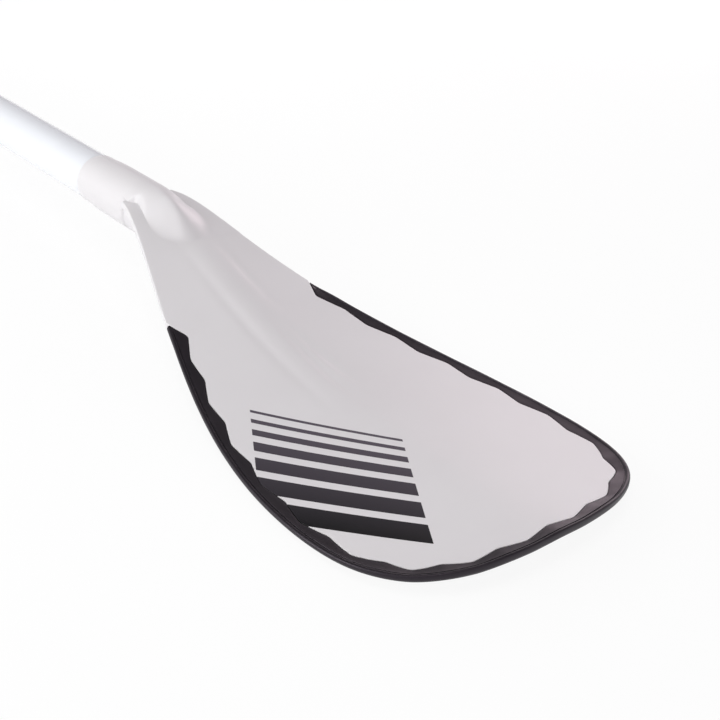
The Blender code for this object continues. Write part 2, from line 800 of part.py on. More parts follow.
def power_skin(parts, root, socket):
    tops, bottoms = skin_rows(1)
    obj = half_slab("blade_power_skin", tops, bottoms, parts)
    combine(obj, socket, "DIFFERENCE")
    return place(obj, white_skin(), root)


def back_skin(parts, root, socket):
    bottoms, tops = skin_rows(-1)
    obj = half_slab("blade_back_skin", tops, bottoms, parts)
    combine(obj, socket, "DIFFERENCE")
    return place(obj, white_skin(), root)


CORE_COLUMNS = 4


def blade_core(parts, root):
    """Foam between the skins, inside the rail's tongue."""
    inset = RAIL_TONGUE + GAP
    tops, bottoms = [], []
    starts = [s for s in STATIONS if outline_at(s, inset)[0] > CORE_START]
    for along in starts:
        row = blade_row(along, inset, CORE_COLUMNS)
        tops.append([(x, y, face_height(x, y) - SKIN - GAP) for x, y in row])
        bottoms.append([(x, y, back_height(x, y) + SKIN + GAP) for x, y in row])
    return place(half_slab("blade_core", tops, bottoms, parts), pale_foam(), root)


def rail_section(along):
    """The rail's closed section at one station, as points in space."""
    width = rail_width(along)
    tongue = RAIL_TONGUE if along > FIRST_TOOTH + SOLID_END + GAP else width + BOND
    round_in = min(RIM_ROUND, 0.8 * width)
    half = thickness(outline_at(along)[0]) / 2
    to_tip = smoothstep((along - TOOTH_AT[-5]) / (TOOTH_AT[-2] - TOOTH_AT[-5]))
    lift = RIM_LIFT + (RIM_LIFT_AT_TIP - RIM_LIFT) * to_tip
    lift *= smoothstep(along / (2 * FIRST_TOOTH))
    profile = [
        (width, 1, 0.0),
        (0.5 * (width + round_in), 1, 0.0),
        (round_in, 1, 0.0),
        (0.3 * round_in, 1, 0.25 * half),
        (0.0, 1, 0.8 * half),
        (0.0, -1, 0.8 * half),
        (0.3 * round_in, -1, 0.25 * half),
        (round_in, -1, 0.0),
        (0.5 * (width + round_in), -1, 0.0),
        (width, -1, 0.0),
        (width, -1, SKIN + GAP),
        (tongue, -1, SKIN + GAP),
        (tongue, 1, SKIN + GAP),
        (width, 1, SKIN + GAP),
    ]
    points = []
    for inset, side, depth in profile:
        x, y = outline_at(along, inset)
        if along >= STATIONS[-1] - 0.01 * MM:
            y = 0.0
        surface = face_height(x, y) if side > 0 else back_height(x, y)
        curl = lift * max(1 - inset / width, 0.0) ** 2
        points.append((x, y, surface - side * depth + curl))
    return points


def edge_rail(parts, root):
    sections = [rail_section(along) for along in sorted(STATIONS + tip_stations())]
    count = len(sections[0])
    points = [p for section in sections for p in section]
    faces = [tuple(range(count))]
    for i in range(len(sections) - 1):
        for j in range(count):
            k = (j + 1) % count
            here, there = i * count, (i + 1) * count
            faces.append((here + k, here + j, there + j, there + k))
    obj = mesh_object("edge_rail", points, faces, parts)
    return place(add_mirror(obj), black_rail(), root)


# Shafts

def lower_shaft(parts, root):
    profile = tube_profile(LOWER_R, LOWER_BORE_R, 0, LOWER_LENGTH)
    obj = turned("lower_shaft", profile, parts, ring=True)
    return place(obj, white_gloss(), root, on_shaft(SHAFT_FOOT))


def bottom_plug(parts, root):
    profile = rod_profile(LOWER_BORE_R - BOND, 0, BOTTOM_PLUG_LENGTH)
    obj = turned("shaft_bottom_plug", profile, parts)
    return place(obj, pale_foam(), root, on_shaft(SHAFT_FOOT))


def upper_shaft(parts, cutters, upper, screw_hole):
    profile = tube_profile(UPPER_R, UPPER_BORE_R, 0, UPPER_LENGTH)
    obj = turned("upper_shaft", profile, parts, ring=True)
    floor = UPPER_R - KEYWAY_DEPTH
    keyway = block(
        "cut_keyway",
        (-KEYWAY_WIDTH / 2, -UPPER_R - CUT_PAST, -CUT_PAST),
        (KEYWAY_WIDTH / 2, -floor, UPPER_LENGTH - KEYWAY_STOP),
        cutters,
    )
    place(as_cutter(keyway), None, upper, on_shaft(UPPER_FOOT))
    combine(obj, keyway, "DIFFERENCE")
    combine(obj, screw_hole, "DIFFERENCE")
    return place(obj, white_gloss(), upper, on_shaft(UPPER_FOOT))


def guide_plug(parts, upper):
    """Closes the foot of the upper shaft and centres it in the lower one."""
    skirt = LOWER_BORE_R - GUIDE_CLEARANCE
    stem = UPPER_BORE_R - BOND
    floor = skirt - SEAL_CORD - SEAL_CLEARANCE
    middle = -GAP - GUIDE_SKIRT / 2
    half = SEAL_GROOVE_WIDTH / 2
    profile = [
        (0, GUIDE_STEM),
        (stem - GUIDE_STEM_CHAMFER, GUIDE_STEM),
        (stem, GUIDE_STEM - GUIDE_STEM_CHAMFER),
        (stem, -GAP),
        (skirt, -GAP),
        (skirt, middle + half),
        (floor, middle + half),
        (floor, middle - half),
        (skirt, middle - half),
        (skirt, -GAP - GUIDE_SKIRT + GUIDE_SKIRT_CHAMFER),
        (skirt - GUIDE_SKIRT_CHAMFER, -GAP - GUIDE_SKIRT),
        (0, -GAP - GUIDE_SKIRT),
    ]
    obj = turned("guide_plug", profile, parts)
    return place(obj, grey_nylon(), upper, on_shaft(UPPER_FOOT))


def guide_seal(parts, upper):
    """Rubber ring in the guide plug's groove."""
    radius = SEAL_CORD / 2
    middle = LOWER_BORE_R - GUIDE_CLEARANCE - radius
    profile = []
    for i in range(8):
        angle = -2 * pi * (i + 0.5) / 8
        profile.append((middle + radius * cos(angle), radius * sin(angle)))
    obj = turned("guide_seal_ring", profile, parts, ring=True)
    height = -GAP - GUIDE_SKIRT / 2
    return place(obj, black_rubber(), upper, on_shaft(UPPER_FOOT, along=height))


# Clamp

def bolt_place(left=0.0):
    """On the clamp bolt's axis, local Z to the paddle's left."""
    return on_shaft(CLAMP_X, left, BOLT_HEIGHT, BOLT_ALONG) @ LEFTWARD


def bolt_hole(name, clearance, cutters):
    """A cutter for the bolt, long enough for whatever piece it is set in."""
    reach = EAR_FACE + NUT_LENGTH + CUT_PAST
    return turned(name, rod_profile(BOLT_D / 2 + clearance, -reach, reach), cutters, SMALL_STEPS)


def clamp_collar(parts, cutters, root):
    """Socket over the lower shaft, split ring over the liner, and two ears for the bolt."""
    socket = LOWER_R + BOND
    outer = COLLAR_R
    bore = LINER_R + BOND
    slim = outer - COLLAR_STEP
    edge = COLLAR_CHAMFER
    profile = [
        (bore, COLLAR_ON_LINER),
        (slim - edge, COLLAR_ON_LINER),
        (slim, COLLAR_ON_LINER - edge),
        (slim, 0),
        (outer, -COLLAR_STEP_LENGTH),
        (outer, edge - COLLAR_ON_SHAFT),
        (outer - edge, -COLLAR_ON_SHAFT),
        (socket, -COLLAR_ON_SHAFT),
        (socket, GAP),
        (bore, GAP),
    ]
    obj = turned("clamp_collar", profile, parts, ring=True)
    here = on_shaft(CLAMP_X)
    first = BOLT_ALONG - EAR_LENGTH / 2
    ears = block(
        "join_ears",
        (-EAR_FACE, (bore + slim) / 2, first),
        (EAR_FACE, EAR_TOP, first + EAR_LENGTH),
        cutters,
    )
    bevel = ears.modifiers.new("rounded", "BEVEL")
    bevel.width = EAR_ROUND
    bevel.segments = 3
    bevel.limit_method = "ANGLE"
    split = block(
        "cut_split",
        (-SPLIT_WIDTH / 2, 0, -SPLIT_BELOW_LINER),
        (SPLIT_WIDTH / 2, EAR_TOP + CUT_PAST, COLLAR_ON_LINER + CUT_PAST),
        cutters,
    )
    hole = bolt_hole("cut_bolt_hole", BOND, cutters)
    place(as_cutter(ears), None, root, here)
    place(as_cutter(split), None, root, here)
    place(as_cutter(hole), None, root, bolt_place())
    combine(obj, ears, "UNION")
    combine(obj, split, "DIFFERENCE")
    combine(obj, hole, "DIFFERENCE")
    return place(obj, black_nylon(), root, here)


def clamp_liner(parts, cutters, root):
    """Split nylon sleeve that grips the upper shaft, with the key that stops it turning."""
    top = COLLAR_ON_LINER + GAP
    flange = LINER_R + LINER_FLANGE_RISE
    profile = [
        (LINER_BORE_R, top + LINER_FLANGE),
        (flange, top + LINER_FLANGE),
        (flange, top),
        (LINER_R, top),
        (LINER_R, 2 * GAP),
        (LINER_BORE_R, 2 * GAP),
    ]
    obj = turned("clamp_liner", profile, parts, ring=True)
    here = on_shaft(CLAMP_X)
    tip = UPPER_R - KEYWAY_DEPTH + GAP
    half = KEYWAY_WIDTH / 2 - KEY_SIDE_CLEARANCE
    key = block(
        "join_key",
        (-half, -(LINER_BORE_R + LINER_R) / 2, 2 * GAP),
        (half, -tip, top + LINER_FLANGE),
        cutters,
    )
    split = block(
        "cut_liner_split",
        (-LINER_SPLIT / 2, 0, -CUT_PAST),
        (LINER_SPLIT / 2, flange + CUT_PAST, top + LINER_FLANGE + CUT_PAST),
        cutters,
    )
    place(as_cutter(key), None, root, here)
    place(as_cutter(split), None, root, here)
    combine(obj, key, "UNION")
    combine(obj, split, "DIFFERENCE")
    return place(obj, grey_nylon(), root, here)


def clamp_bolt(parts, root):
    nut_end = EAR_FACE + 3 * GAP + WASHER_THICKNESS + NUT_LENGTH
    edge = BOLT_CHAMFER
    radius = BOLT_D / 2
    top = PIN_OUT + PIN_D / 2 - BOLT_BELOW_PIN_TOP
    bottom = -nut_end - BOLT_PAST_NUT
    profile = [
        (0, top),
        (radius - edge, top),
        (radius, top - edge),
        (radius, bottom + edge),
        (radius - edge, bottom),
        (0, bottom),
    ]
    return place(turned("clamp_bolt", profile, parts, SMALL_STEPS), stainless(), root, bolt_place())


def washer(name, left, parts, root):
    profile = tube_profile(WASHER_D / 2, BOLT_D / 2 + BOND, 0, WASHER_THICKNESS)
    obj = turned(name, profile, parts, SMALL_STEPS, ring=True)
    return place(obj, stainless(), root, bolt_place(left))


def tension_nut(parts, cutters, root):
    """Knurled nut that sets how hard the lever clamps."""
    outline = []
    for i in range(2 * NUT_FLUTES):
        radius = NUT_D / 2 - (NUT_KNURL if i % 2 else 0)
        angle = pi * i / NUT_FLUTES
        outline.append((radius * cos(angle), radius * sin(angle)))
    obj = flat_piece("tension_nut", outline, NUT_LENGTH, parts)
    hole = bolt_hole("cut_nut_thread", RUNNING, cutters)
    middle = -(EAR_FACE + 2 * GAP + WASHER_THICKNESS + NUT_LENGTH / 2)
    place(as_cutter(hole), None, root, bolt_place(middle))
    combine(obj, hole, "DIFFERENCE")
    return place(obj, black_nylon(), root, bolt_place(middle))


def pin_place():
    return on_shaft(CLAMP_X, PIN_OUT, BOLT_HEIGHT, BOLT_ALONG)


def lever_pin(parts, cutters, root):
    """Barrel pin: the lever turns on it and the bolt is screwed through it."""
    half = LEVER_WIDTH / 2 - GAP
    obj = turned("lever_pivot_pin", rod_profile(PIN_D / 2, -half, half), parts, SMALL_STEPS)
    hole = bolt_hole("cut_pin_thread", RUNNING, cutters)
    place(as_cutter(hole), None, root, bolt_place(PIN_OUT))
    combine(obj, hole, "DIFFERENCE")
    return place(obj, stainless(), root, pin_place())


def lever_outline():
    """A strap that starts as the cam round the pin and wraps the clamp down to its tip."""
    start = Vector((CAM_OFFSET * cos(radians(CAM_ANGLE)), CAM_OFFSET * sin(radians(CAM_ANGLE))))
    centre = Vector((-PIN_OUT, -BOLT_HEIGHT))
    first = start - centre
    from_angle = atan2(first.y, first.x)
    to_angle = radians(LEVER_TIP_ANGLE)
    steps = 14
    path, widths = [], []
    for i in range(steps + 1):
        part = i / steps
        angle = from_angle + (to_angle - from_angle) * part
        ease = smoothstep(part / 0.4)
        radius = first.length + (LEVER_REST_RADIUS - first.length) * ease
        radius += LEVER_TIP_FLARE * smoothstep((part - 0.75) / 0.25)
        path.append(centre + Vector((radius * cos(angle), radius * sin(angle))))
        widths.append(CAM_RADIUS + (LEVER_HALF_THICKNESS - CAM_RADIUS) * smoothstep(part / 0.35))
    ways = [(b - a).normalized() for a, b in zip(path, path[1:])]
    ways.append(ways[-1])
    left, right = [], []
    for point, way, width in zip(path, ways, widths):
        normal = Vector((-way.y, way.x)) * width
        left.append(point + normal)
        right.append(point - normal)
    cam, tip = [], []
    back = atan2(-ways[0].y, -ways[0].x)
    for i in range(1, 12):
        angle = back + pi / 2 - pi * i / 12
        cam.append(path[0] + Vector((cos(angle), sin(angle))) * CAM_RADIUS)
    front = atan2(ways[-1].y, ways[-1].x)
    for i in range(1, 5):
        angle = front + pi / 2 - pi * i / 5
        tip.append(path[-1] + Vector((cos(angle), sin(angle))) * LEVER_HALF_THICKNESS)
    return left + tip + right[::-1] + cam


def clamp_lever(parts, cutters, root):
    obj = flat_piece("clamp_lever", [tuple(p) for p in lever_outline()], LEVER_WIDTH, parts)
    gape = BOLT_D / 2 + FORK_CLEARANCE
    slot = rod_profile(LEVER_FORK_RADIUS, -gape, gape)
    fork = turned("cut_lever_fork", slot, cutters, SMALL_STEPS)
    bore = rod_profile(PIN_D / 2 + RUNNING, -LEVER_WIDTH, LEVER_WIDTH)
    hole = turned("cut_lever_pin", bore, cutters, SMALL_STEPS)
    place(as_cutter(fork), None, root, pin_place())
    place(as_cutter(hole), None, root, pin_place())
    combine(obj, fork, "DIFFERENCE")
    combine(obj, hole, "DIFFERENCE")
    return place(obj, black_nylon(), root, pin_place())


# T-grip: local Z runs up the shaft, Z = 0 is the upper end of the upper shaft

def grip_screw_profile(extra):
    """Countersunk screw, its head's face at Z = 0."""
    head, shank = SCREW_HEAD_D / 2 + extra, SCREW_D / 2 + extra
    depth = head - shank
    top = CUT_PAST if extra else 0.0
    profile = [(0, top), (head, top), (head, 0), (shank, -depth), (shank, -SCREW_LENGTH - extra)]
    if not extra:
        del profile[1]
    return profile + [(0, -SCREW_LENGTH - extra)]


def screw_place():
    """On the back of the upper shaft, local Z outwards."""
    sunk = UPPER_R - SCREW_SUNK
    return on_shaft(UPPER_TOP, 0, -sunk, -SCREW_FROM_TOP) @ Matrix.Rotation(pi / 2, 4, "X")


def screw_hole(cutters, upper):
    hole = turned("cut_grip_screw", grip_screw_profile(SCREW_CLEARANCE), cutters, SMALL_STEPS)
    return place(as_cutter(hole), None, upper, screw_place())


def grip_screw(parts, upper):
    obj = turned("grip_screw", grip_screw_profile(0.0), parts, SMALL_STEPS)
    return place(obj, stainless(), upper, screw_place())


def core_profile(extra):
    """Stem, shoulder and neck of the grip's core, grown by a clearance."""
    shoulder = UPPER_R + extra
    neck = CORE_NECK_D / 2 + extra
    stem = UPPER_BORE_R - BOND
    profile = [
        (0, GRIP_NECK + extra),
        (neck, GRIP_NECK + extra),
        (neck, GAP + STEM_SHOULDER + extra),
        (shoulder, GAP + STEM_SHOULDER + extra),
        (shoulder, GAP),
        (stem, GAP),
        (stem, STEM_CHAMFER - STEM_LENGTH),
        (stem - STEM_CHAMFER, -STEM_LENGTH),
        (0, -STEM_LENGTH),
    ]
    if extra:
        profile = profile[:4] + [(shoulder, -CUT_PAST), (0, -CUT_PAST)]
    return profile


def grip_core(parts, cutters, upper, hole):
    """Stiff core: its stem is fixed in the upper shaft and its bar carries the soft cover."""
    obj = turned("grip_core", core_profile(0.0), parts)
    bar = turned(
        "join_core_bar", rod_profile(CORE_BAR_D / 2, -CORE_BAR_WIDTH / 2, CORE_BAR_WIDTH / 2), cutters
    )
    place(as_cutter(bar), None, upper, on_shaft(UPPER_TOP, along=GRIP_NECK) @ LEFTWARD)
    combine(obj, bar, "UNION")
    combine(obj, hole, "DIFFERENCE")
    return place(obj, black_nylon(), upper, on_shaft(UPPER_TOP))


def grip_cover(parts, cutters, upper):
    """Soft palm grip moulded over the core: a drooping bar on a flared neck."""
    here = on_shaft(UPPER_TOP)
    curve = bpy.data.curves.new("grip_cover", "CURVE")
    curve.dimensions = "3D"
    curve.bevel_depth = GRIP_BAR_D / 2
    curve.bevel_resolution = 3
    curve.use_fill_caps = True
    spline = curve.splines.new("POLY")
    count = 13
    spline.points.add(count - 1)
    half = GRIP_WIDTH / 2
    for i, point in enumerate(spline.points):
        side = cos(pi * (1 - i / (count - 1)))
        reach = abs(side)
        thick = GRIP_BAR_D + (GRIP_END_D - GRIP_BAR_D) * reach**2
        round_end = sqrt(max(1 - max((reach - 0.8) / 0.2, 0.0) ** 2, 0.05))
        point.co = (side * half, 0, GRIP_NECK - GRIP_DROOP * side * side, 1)
        point.radius = thick * round_end / GRIP_BAR_D
    bar = bpy.data.objects.new("grip_cover", curve)
    parts.objects.link(bar)
    obj = curve_to_mesh(bar, parts)
    neck = turned(
        "join_grip_neck",
        [
            (0, GRIP_NECK),
            (0.8 * GRIP_BAR_D / 2, GRIP_NECK),
            (0.93 * GRIP_BAR_D / 2, GRIP_NECK - FLARE_LENGTH / 3),
            (GRIP_BAR_D / 2, GRIP_NECK - FLARE_LENGTH * 0.6),
            (UPPER_R + COVER_WALL, COVER_CUFF),
            (UPPER_R + COVER_WALL, GAP),
            (0, GAP),
        ],
        cutters,
    )
    hollow = turned("cut_core_neck", core_profile(GAP), cutters)
    tunnel = turned(
        "cut_core_bar",
        rod_profile(CORE_BAR_D / 2 + GAP, -CORE_BAR_WIDTH / 2 - GAP, CORE_BAR_WIDTH / 2 + GAP),
        cutters,
    )
    place(as_cutter(neck), None, upper, here)
    place(as_cutter(hollow), None, upper, here)
    place(as_cutter(tunnel), None, upper, on_shaft(UPPER_TOP, along=GRIP_NECK) @ LEFTWARD)
    combine(obj, neck, "UNION")
    combine(obj, hollow, "DIFFERENCE")
    combine(obj, tunnel, "DIFFERENCE")
    return place(obj, black_rubber(), upper, here)


def empty(name, collection, parent=None, location=(0, 0, 0)):
    obj = bpy.data.objects.new(name, None)
    collection.objects.link(obj)
    obj.parent = parent
    obj.location = location
    return obj


def world_points(objects):
    bpy.context.view_layer.update()
    graph = bpy.context.evaluated_depsgraph_get()
    points = []
    for obj in objects:
        shape = obj.evaluated_get(graph)
        points += [shape.matrix_world @ v.co for v in shape.data.vertices]
    return points


def lay_on_floor(root, solids):
    """Tilts the paddle until blade and grip both rest on the floor, its box centred on the origin."""
    blade = [p.copy() for p in world_points(solids) if p.x > CLAMP_X]
    grip = [p.copy() for p in world_points(solids) if p.x <= UPPER_TOP]
    tilt = 0.0
    for _ in range(20):
        turn = Matrix.Rotation(tilt, 3, "Y")
        a = min((turn @ p for p in blade), key=lambda p: p.z)
        b = min((turn @ p for p in grip), key=lambda p: p.z)
        tilt += (a.z - b.z) / (a.x - b.x)
    root.rotation_euler = (0, tilt, 0)
    points = world_points(solids)
    low = Vector(min(p[i] for p in points) for i in range(3))
    high = Vector(max(p[i] for p in points) for i in range(3))
    root.location = (-(low.x + high.x) / 2, -(low.y + high.y) / 2, -low.z)
    bpy.context.view_layer.update()


def build():
    clear_scene()
    parts = new_collection("sup_paddle")
    cutters = new_collection("cutters", hidden=True)
    root = empty("paddle", parts)
    upper = empty("upper_section", parts, root, (0, 0, 0))

    socket = neck_socket(cutters)
    place(as_cutter(socket), None, root, on_shaft(SHAFT_FOOT + GAP))
    hole = screw_hole(cutters, upper)
    solids = [
        power_skin(parts, root, socket),
        back_skin(parts, root, socket),
        blade_core(parts, root),
        edge_rail(parts, root),
        lower_shaft(parts, root),
        bottom_plug(parts, root),
        clamp_collar(parts, cutters, root),
        clamp_liner(parts, cutters, root),
        clamp_bolt(parts, root),
        washer("cam_washer", EAR_FACE + GAP, parts, root),
        washer("nut_washer", -EAR_FACE - GAP - WASHER_THICKNESS, parts, root),
        tension_nut(parts, cutters, root),
        lever_pin(parts, cutters, root),
        clamp_lever(parts, cutters, root),
        upper_shaft(parts, cutters, upper, hole),
        guide_plug(parts, upper),
        guide_seal(parts, upper),
        grip_core(parts, cutters, upper, hole),
        grip_cover(parts, cutters, upper),
        grip_screw(parts, upper),
    ]
    lay_on_floor(root, solids)


build()
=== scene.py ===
# Adjustable stand-up paddle: white scooped blade with a black wavy rail, two shafts,
# cam clamp and T-grip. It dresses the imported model: every piece is placed in the shaft's
# own frame, in millimetres, X along the shaft to the blade's tip and Z out of the power face.

import json
from math import asin, atan2, cos, hypot, pi, radians, sin, sqrt

import bmesh
import bpy
import numpy as np
from mathutils import Matrix, Vector


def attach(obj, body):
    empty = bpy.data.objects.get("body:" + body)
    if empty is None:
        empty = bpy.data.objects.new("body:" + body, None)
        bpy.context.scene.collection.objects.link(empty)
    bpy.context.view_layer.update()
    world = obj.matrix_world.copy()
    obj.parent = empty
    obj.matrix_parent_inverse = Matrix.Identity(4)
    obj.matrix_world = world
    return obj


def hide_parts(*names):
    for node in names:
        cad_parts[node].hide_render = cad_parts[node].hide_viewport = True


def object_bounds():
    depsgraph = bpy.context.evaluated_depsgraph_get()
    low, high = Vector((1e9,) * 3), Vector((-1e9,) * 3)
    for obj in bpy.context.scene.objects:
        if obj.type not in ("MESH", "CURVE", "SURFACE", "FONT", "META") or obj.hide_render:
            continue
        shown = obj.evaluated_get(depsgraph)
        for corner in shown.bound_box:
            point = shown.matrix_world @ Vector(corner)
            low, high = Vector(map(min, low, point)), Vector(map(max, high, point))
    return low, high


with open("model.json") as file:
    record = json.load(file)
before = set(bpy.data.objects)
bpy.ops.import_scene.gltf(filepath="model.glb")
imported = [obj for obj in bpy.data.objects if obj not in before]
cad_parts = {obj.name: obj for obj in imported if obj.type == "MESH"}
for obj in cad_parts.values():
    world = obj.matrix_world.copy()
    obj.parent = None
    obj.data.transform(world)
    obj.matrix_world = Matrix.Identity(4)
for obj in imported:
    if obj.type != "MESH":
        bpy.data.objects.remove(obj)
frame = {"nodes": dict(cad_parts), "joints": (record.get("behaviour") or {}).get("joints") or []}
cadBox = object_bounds()
mm = 0.001

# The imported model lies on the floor, so its shaft is tilted a little. The slide joint
# gives that tilt and the lever's pin gives the place.
joints = {joint["name"]: joint for joint in frame["joints"]}
pinInShaft = {"x": -912.0, "up": 26.0}
tilt = asin(joints["length_slide"]["axis"][2])
pinAt = Vector(joints["lever_hinge"]["pos_m"])
tilted = Matrix.Rotation(tilt, 4, "Y")
pinLocal = Vector((pinInShaft["x"] * mm, pinAt.y, pinInShaft["up"] * mm))
shaftFrame = Matrix.Translation(pinAt - tilted @ pinLocal) @ tilted


# Colours, nodes and what every material shares

def linearColour(hexText):
    channels = [int(hexText[i:i + 2], 16) / 255 for i in (1, 3, 5)]
    return [c / 12.92 if c <= 0.04045 else ((c + 0.055) / 1.055) ** 2.4 for c in channels] + [1.0]


def addNode(tree, kind, feeds, **settings):
    # feeds gives each socket a value or another node's output, and a name in small letters
    # is a setting of the node; the node's outputs come back
    node = tree.nodes.new("ShaderNode" + kind)
    for key, value in (settings | feeds).items():
        if isinstance(value, bpy.types.NodeSocket):
            tree.links.new(value, node.inputs[key])
        elif key == "stops":
            elements = node.color_ramp.elements
            while len(elements) < len(value):
                elements.new(0.5)
            for element, (position, colour) in zip(elements, value):
                element.position = position
                element.color = colour
        elif key == "interpolation":
            node.color_ramp.interpolation = value
        elif isinstance(key, str) and key[0].islower():
            setattr(node, key, value)
        else:
            node.inputs[key].default_value = value
    return node.outputs


def emptyTree(owner):
    owner.use_nodes = True
    owner.node_tree.nodes.clear()
    return owner.node_tree


def makeMaterial(name, look, printing=None):
    # a look's patterns each have a node, the real size in millimetres, the node's values and
    # perhaps a warp. The tone goes from one colour to the other, the gloss moves the
    # roughness down and up, and each relief has its depth in millimetres and its strength
    material = bpy.data.materials.new(name)
    tree = emptyTree(material)
    # patterns follow the shaft's frame
    place = addNode(tree, "Mapping", {
        "Vector": addNode(tree, "TexCoord", {})["Object"],
        "Location": shaftFrame.to_translation(), "Rotation": (0.0, tilt, 0.0),
    }, vector_type="TEXTURE")[0]
    patterns = {}
    for key, (kind, size, values, *warps) in look["patterns"].items():
        spot = {"Vector": place}
        for warp in warps:
            spot = {"Vector": addNode(tree, "Mapping", spot | warp)[0]}
        outputs = addNode(tree, kind, spot | {"Scale": 1000.0 / size} | values)
        patterns[key] = outputs["Distance" if kind == "TexVoronoi" else "Fac"]
    tone = patterns[look["tone"]]
    if "edges" in look:
        start, end, most = look["edges"]
        proud = addNode(tree, "MapRange", {
            "Value": addNode(tree, "NewGeometry", {})["Pointiness"],
            "From Min": start, "From Max": end, "To Max": most,
        })[0]
        tone = addNode(tree, "Math", {0: proud, 1: tone}, operation="MULTIPLY")[0]
    first, second = map(linearColour, look["colours"])
    colour = addNode(tree, "Mix", {0: tone, 6: first, 7: second}, data_type="RGBA")[2]
    if printing:
        mark, ink = printing(tree, place)
        colour = addNode(tree, "Mix", {0: mark, 6: colour, 7: ink}, data_type="RGBA")[2]
    feeds = {"Base Color": colour}
    if "gloss" in look:
        key, less, more = look["gloss"]
        base = look["sockets"]["Roughness"]
        feeds["Roughness"] = addNode(tree, "MapRange", {
            "Value": patterns[key], "From Min": 0.3, "From Max": 0.7,
            "To Min": base - less, "To Max": base + more,
        })[0]
    if "scuffs" in look:
        start, end, dulls = look["scuffs"]
        scuffed = addNode(tree, "MapRange", {
            "Value": patterns["scuff"], "From Min": start, "From Max": end,
        })[0]
        feeds["Roughness"] = addNode(tree, "Math", {
            0: scuffed, 1: dulls, 2: feeds["Roughness"],
        }, operation="MULTIPLY_ADD")[0]
    for key, depth, strength in look["reliefs"]:
        under = {"Normal": feeds["Normal"]} if "Normal" in feeds else {}
        lift = {"Height": patterns[key], "Distance": depth * mm, "Strength": strength}
        feeds["Normal"] = addNode(tree, "Bump", lift | under)[0]
    shader = tree.nodes.new("ShaderNodeBsdfPrincipled")
    for socket, value in look["sockets"].items():
        shader.inputs[socket].default_value = value
    for socket, feed in feeds.items():
        tree.links.new(feed, shader.inputs[socket])
    addNode(tree, "OutputMaterial", {"Surface": shader.outputs[0]})
    return material


whites = (1.0, 1.0, 1.0, 1.0)
blacks = (0.0, 0.0, 0.0, 1.0)


# Injection moulded ABS with a satin mould grain: an even, slightly soft white that shows
# faint cloudiness, a fine grain in its gloss and a few hairline scuffs
satinMouldedAbs = {
    "colours": ("#d9d6d9", "#d3cfd2"),
    # a satin mould skin reflects less than polished plastic
    "sockets": {"Roughness": 0.36, "IOR": 1.53, "Specular IOR Level": 0.3},
    "patterns": {
        "cloud": ("TexNoise", 55.0, {"Detail": 3.0}),
        # the mould's grain is about 0.1 mm, drawn at 0.5 mm so that it shows
        "grain": ("TexNoise", 0.5, {"Detail": 1.0}),
        # hairline scuffs run along the blade, as sand and board leave them
        "scuff": ("TexNoise", 3.0, {"Detail": 2.0}, {
            "Rotation": (0.0, 0.0, 0.35), "Scale": (14.0, 1.0, 1.0), "vector_type": "TEXTURE",
        }),
    },
    "tone": "cloud",
    "gloss": ("grain", 0.04, 0.05),
    "scuffs": (0.68, 0.78, 0.14),  # from, fully at, how much rougher
    "reliefs": [("grain", 0.006, 0.6)],
}
bladePrint = {
    # plain slanted bars, thick to thin: each bar's start and end as a share of the rows
    "colours": ("#0b0a0d", "#57505a"),
    "at": (154.0, -49.0),
    "turn": 35.0,
    "half": 42.0,
    "slant": 0.45,
    "bars": [(0, 14), (19, 31), (36, 45.5), (50.5, 57.5), (62.5, 67), (72, 75), (80, 82)],
    "rows": 85.0,
    "firstStop": 0.01,
}


def printBars(tree, place):
    look = bladePrint
    turn, slant, half = radians(look["turn"]), look["slant"], look["half"] * mm
    atX, atY = look["at"]
    spot = addNode(tree, "VectorMath", {0: place, 1: (atX * mm, atY * mm, 0.0)}, operation="SUBTRACT")[0]
    ways = [
        (-sin(turn) / (2 * half), cos(turn) / (2 * half), 0.0),
        ((cos(turn) - slant * sin(turn)) / half, (sin(turn) + slant * cos(turn)) / half, 0.0),
    ]
    across, endways = (addNode(tree, "VectorMath", {0: spot, 1: way}, operation="DOT_PRODUCT")["Value"]
                       for way in ways)
    stops = [(0.0, blacks)]
    for bar in look["bars"]:
        stops += [(look["firstStop"] + at / look["rows"], ink) for at, ink in zip(bar, (whites, blacks))]
    fromEdge = addNode(tree, "Math", {0: across, 1: 0.5}, operation="ADD")[0]
    bars = addNode(tree, "ValToRGB", {0: fromEdge}, stops=stops, interpolation="CONSTANT")[0]
    length = addNode(tree, "Math", {0: endways}, operation="ABSOLUTE")[0]
    within = addNode(tree, "Math", {0: length, 1: 1.0}, operation="LESS_THAN")[0]
    printed = addNode(tree, "Math", {0: bars, 1: within}, operation="MULTIPLY")[0]
    thick, thin = map(linearColour, look["colours"])
    return printed, addNode(tree, "Mix", {0: fromEdge, 6: thick, 7: thin}, data_type="RGBA")[2]


# The same ABS in black, moulded round the blade's edge: near black with a soft violet-grey
# sheen, finely grained, and paler where the rim has rubbed on the board
blackMouldedAbs = {
    "colours": ("#19161a", "#332d33"),
    "sockets": {"Roughness": 0.40, "IOR": 1.53, "Specular IOR Level": 0.32,
                "Specular Tint": linearColour("#fdecff")},
    "patterns": {
        "rub": ("TexNoise", 9.0, {"Detail": 5.0, "Roughness": 0.6}),
        # the mould's grain is about 0.1 mm, drawn at 0.6 mm so that it shows
        "grain": ("TexNoise", 0.6, {"Detail": 1.0}),
    },
    "tone": "rub",
    "edges": (0.52, 0.62, 0.7),  # only proud edges are rubbed: from, fully at, how much
    "gloss": ("rub", 0.05, 0.06),
    "reliefs": [("grain", 0.012, 0.6)],
}

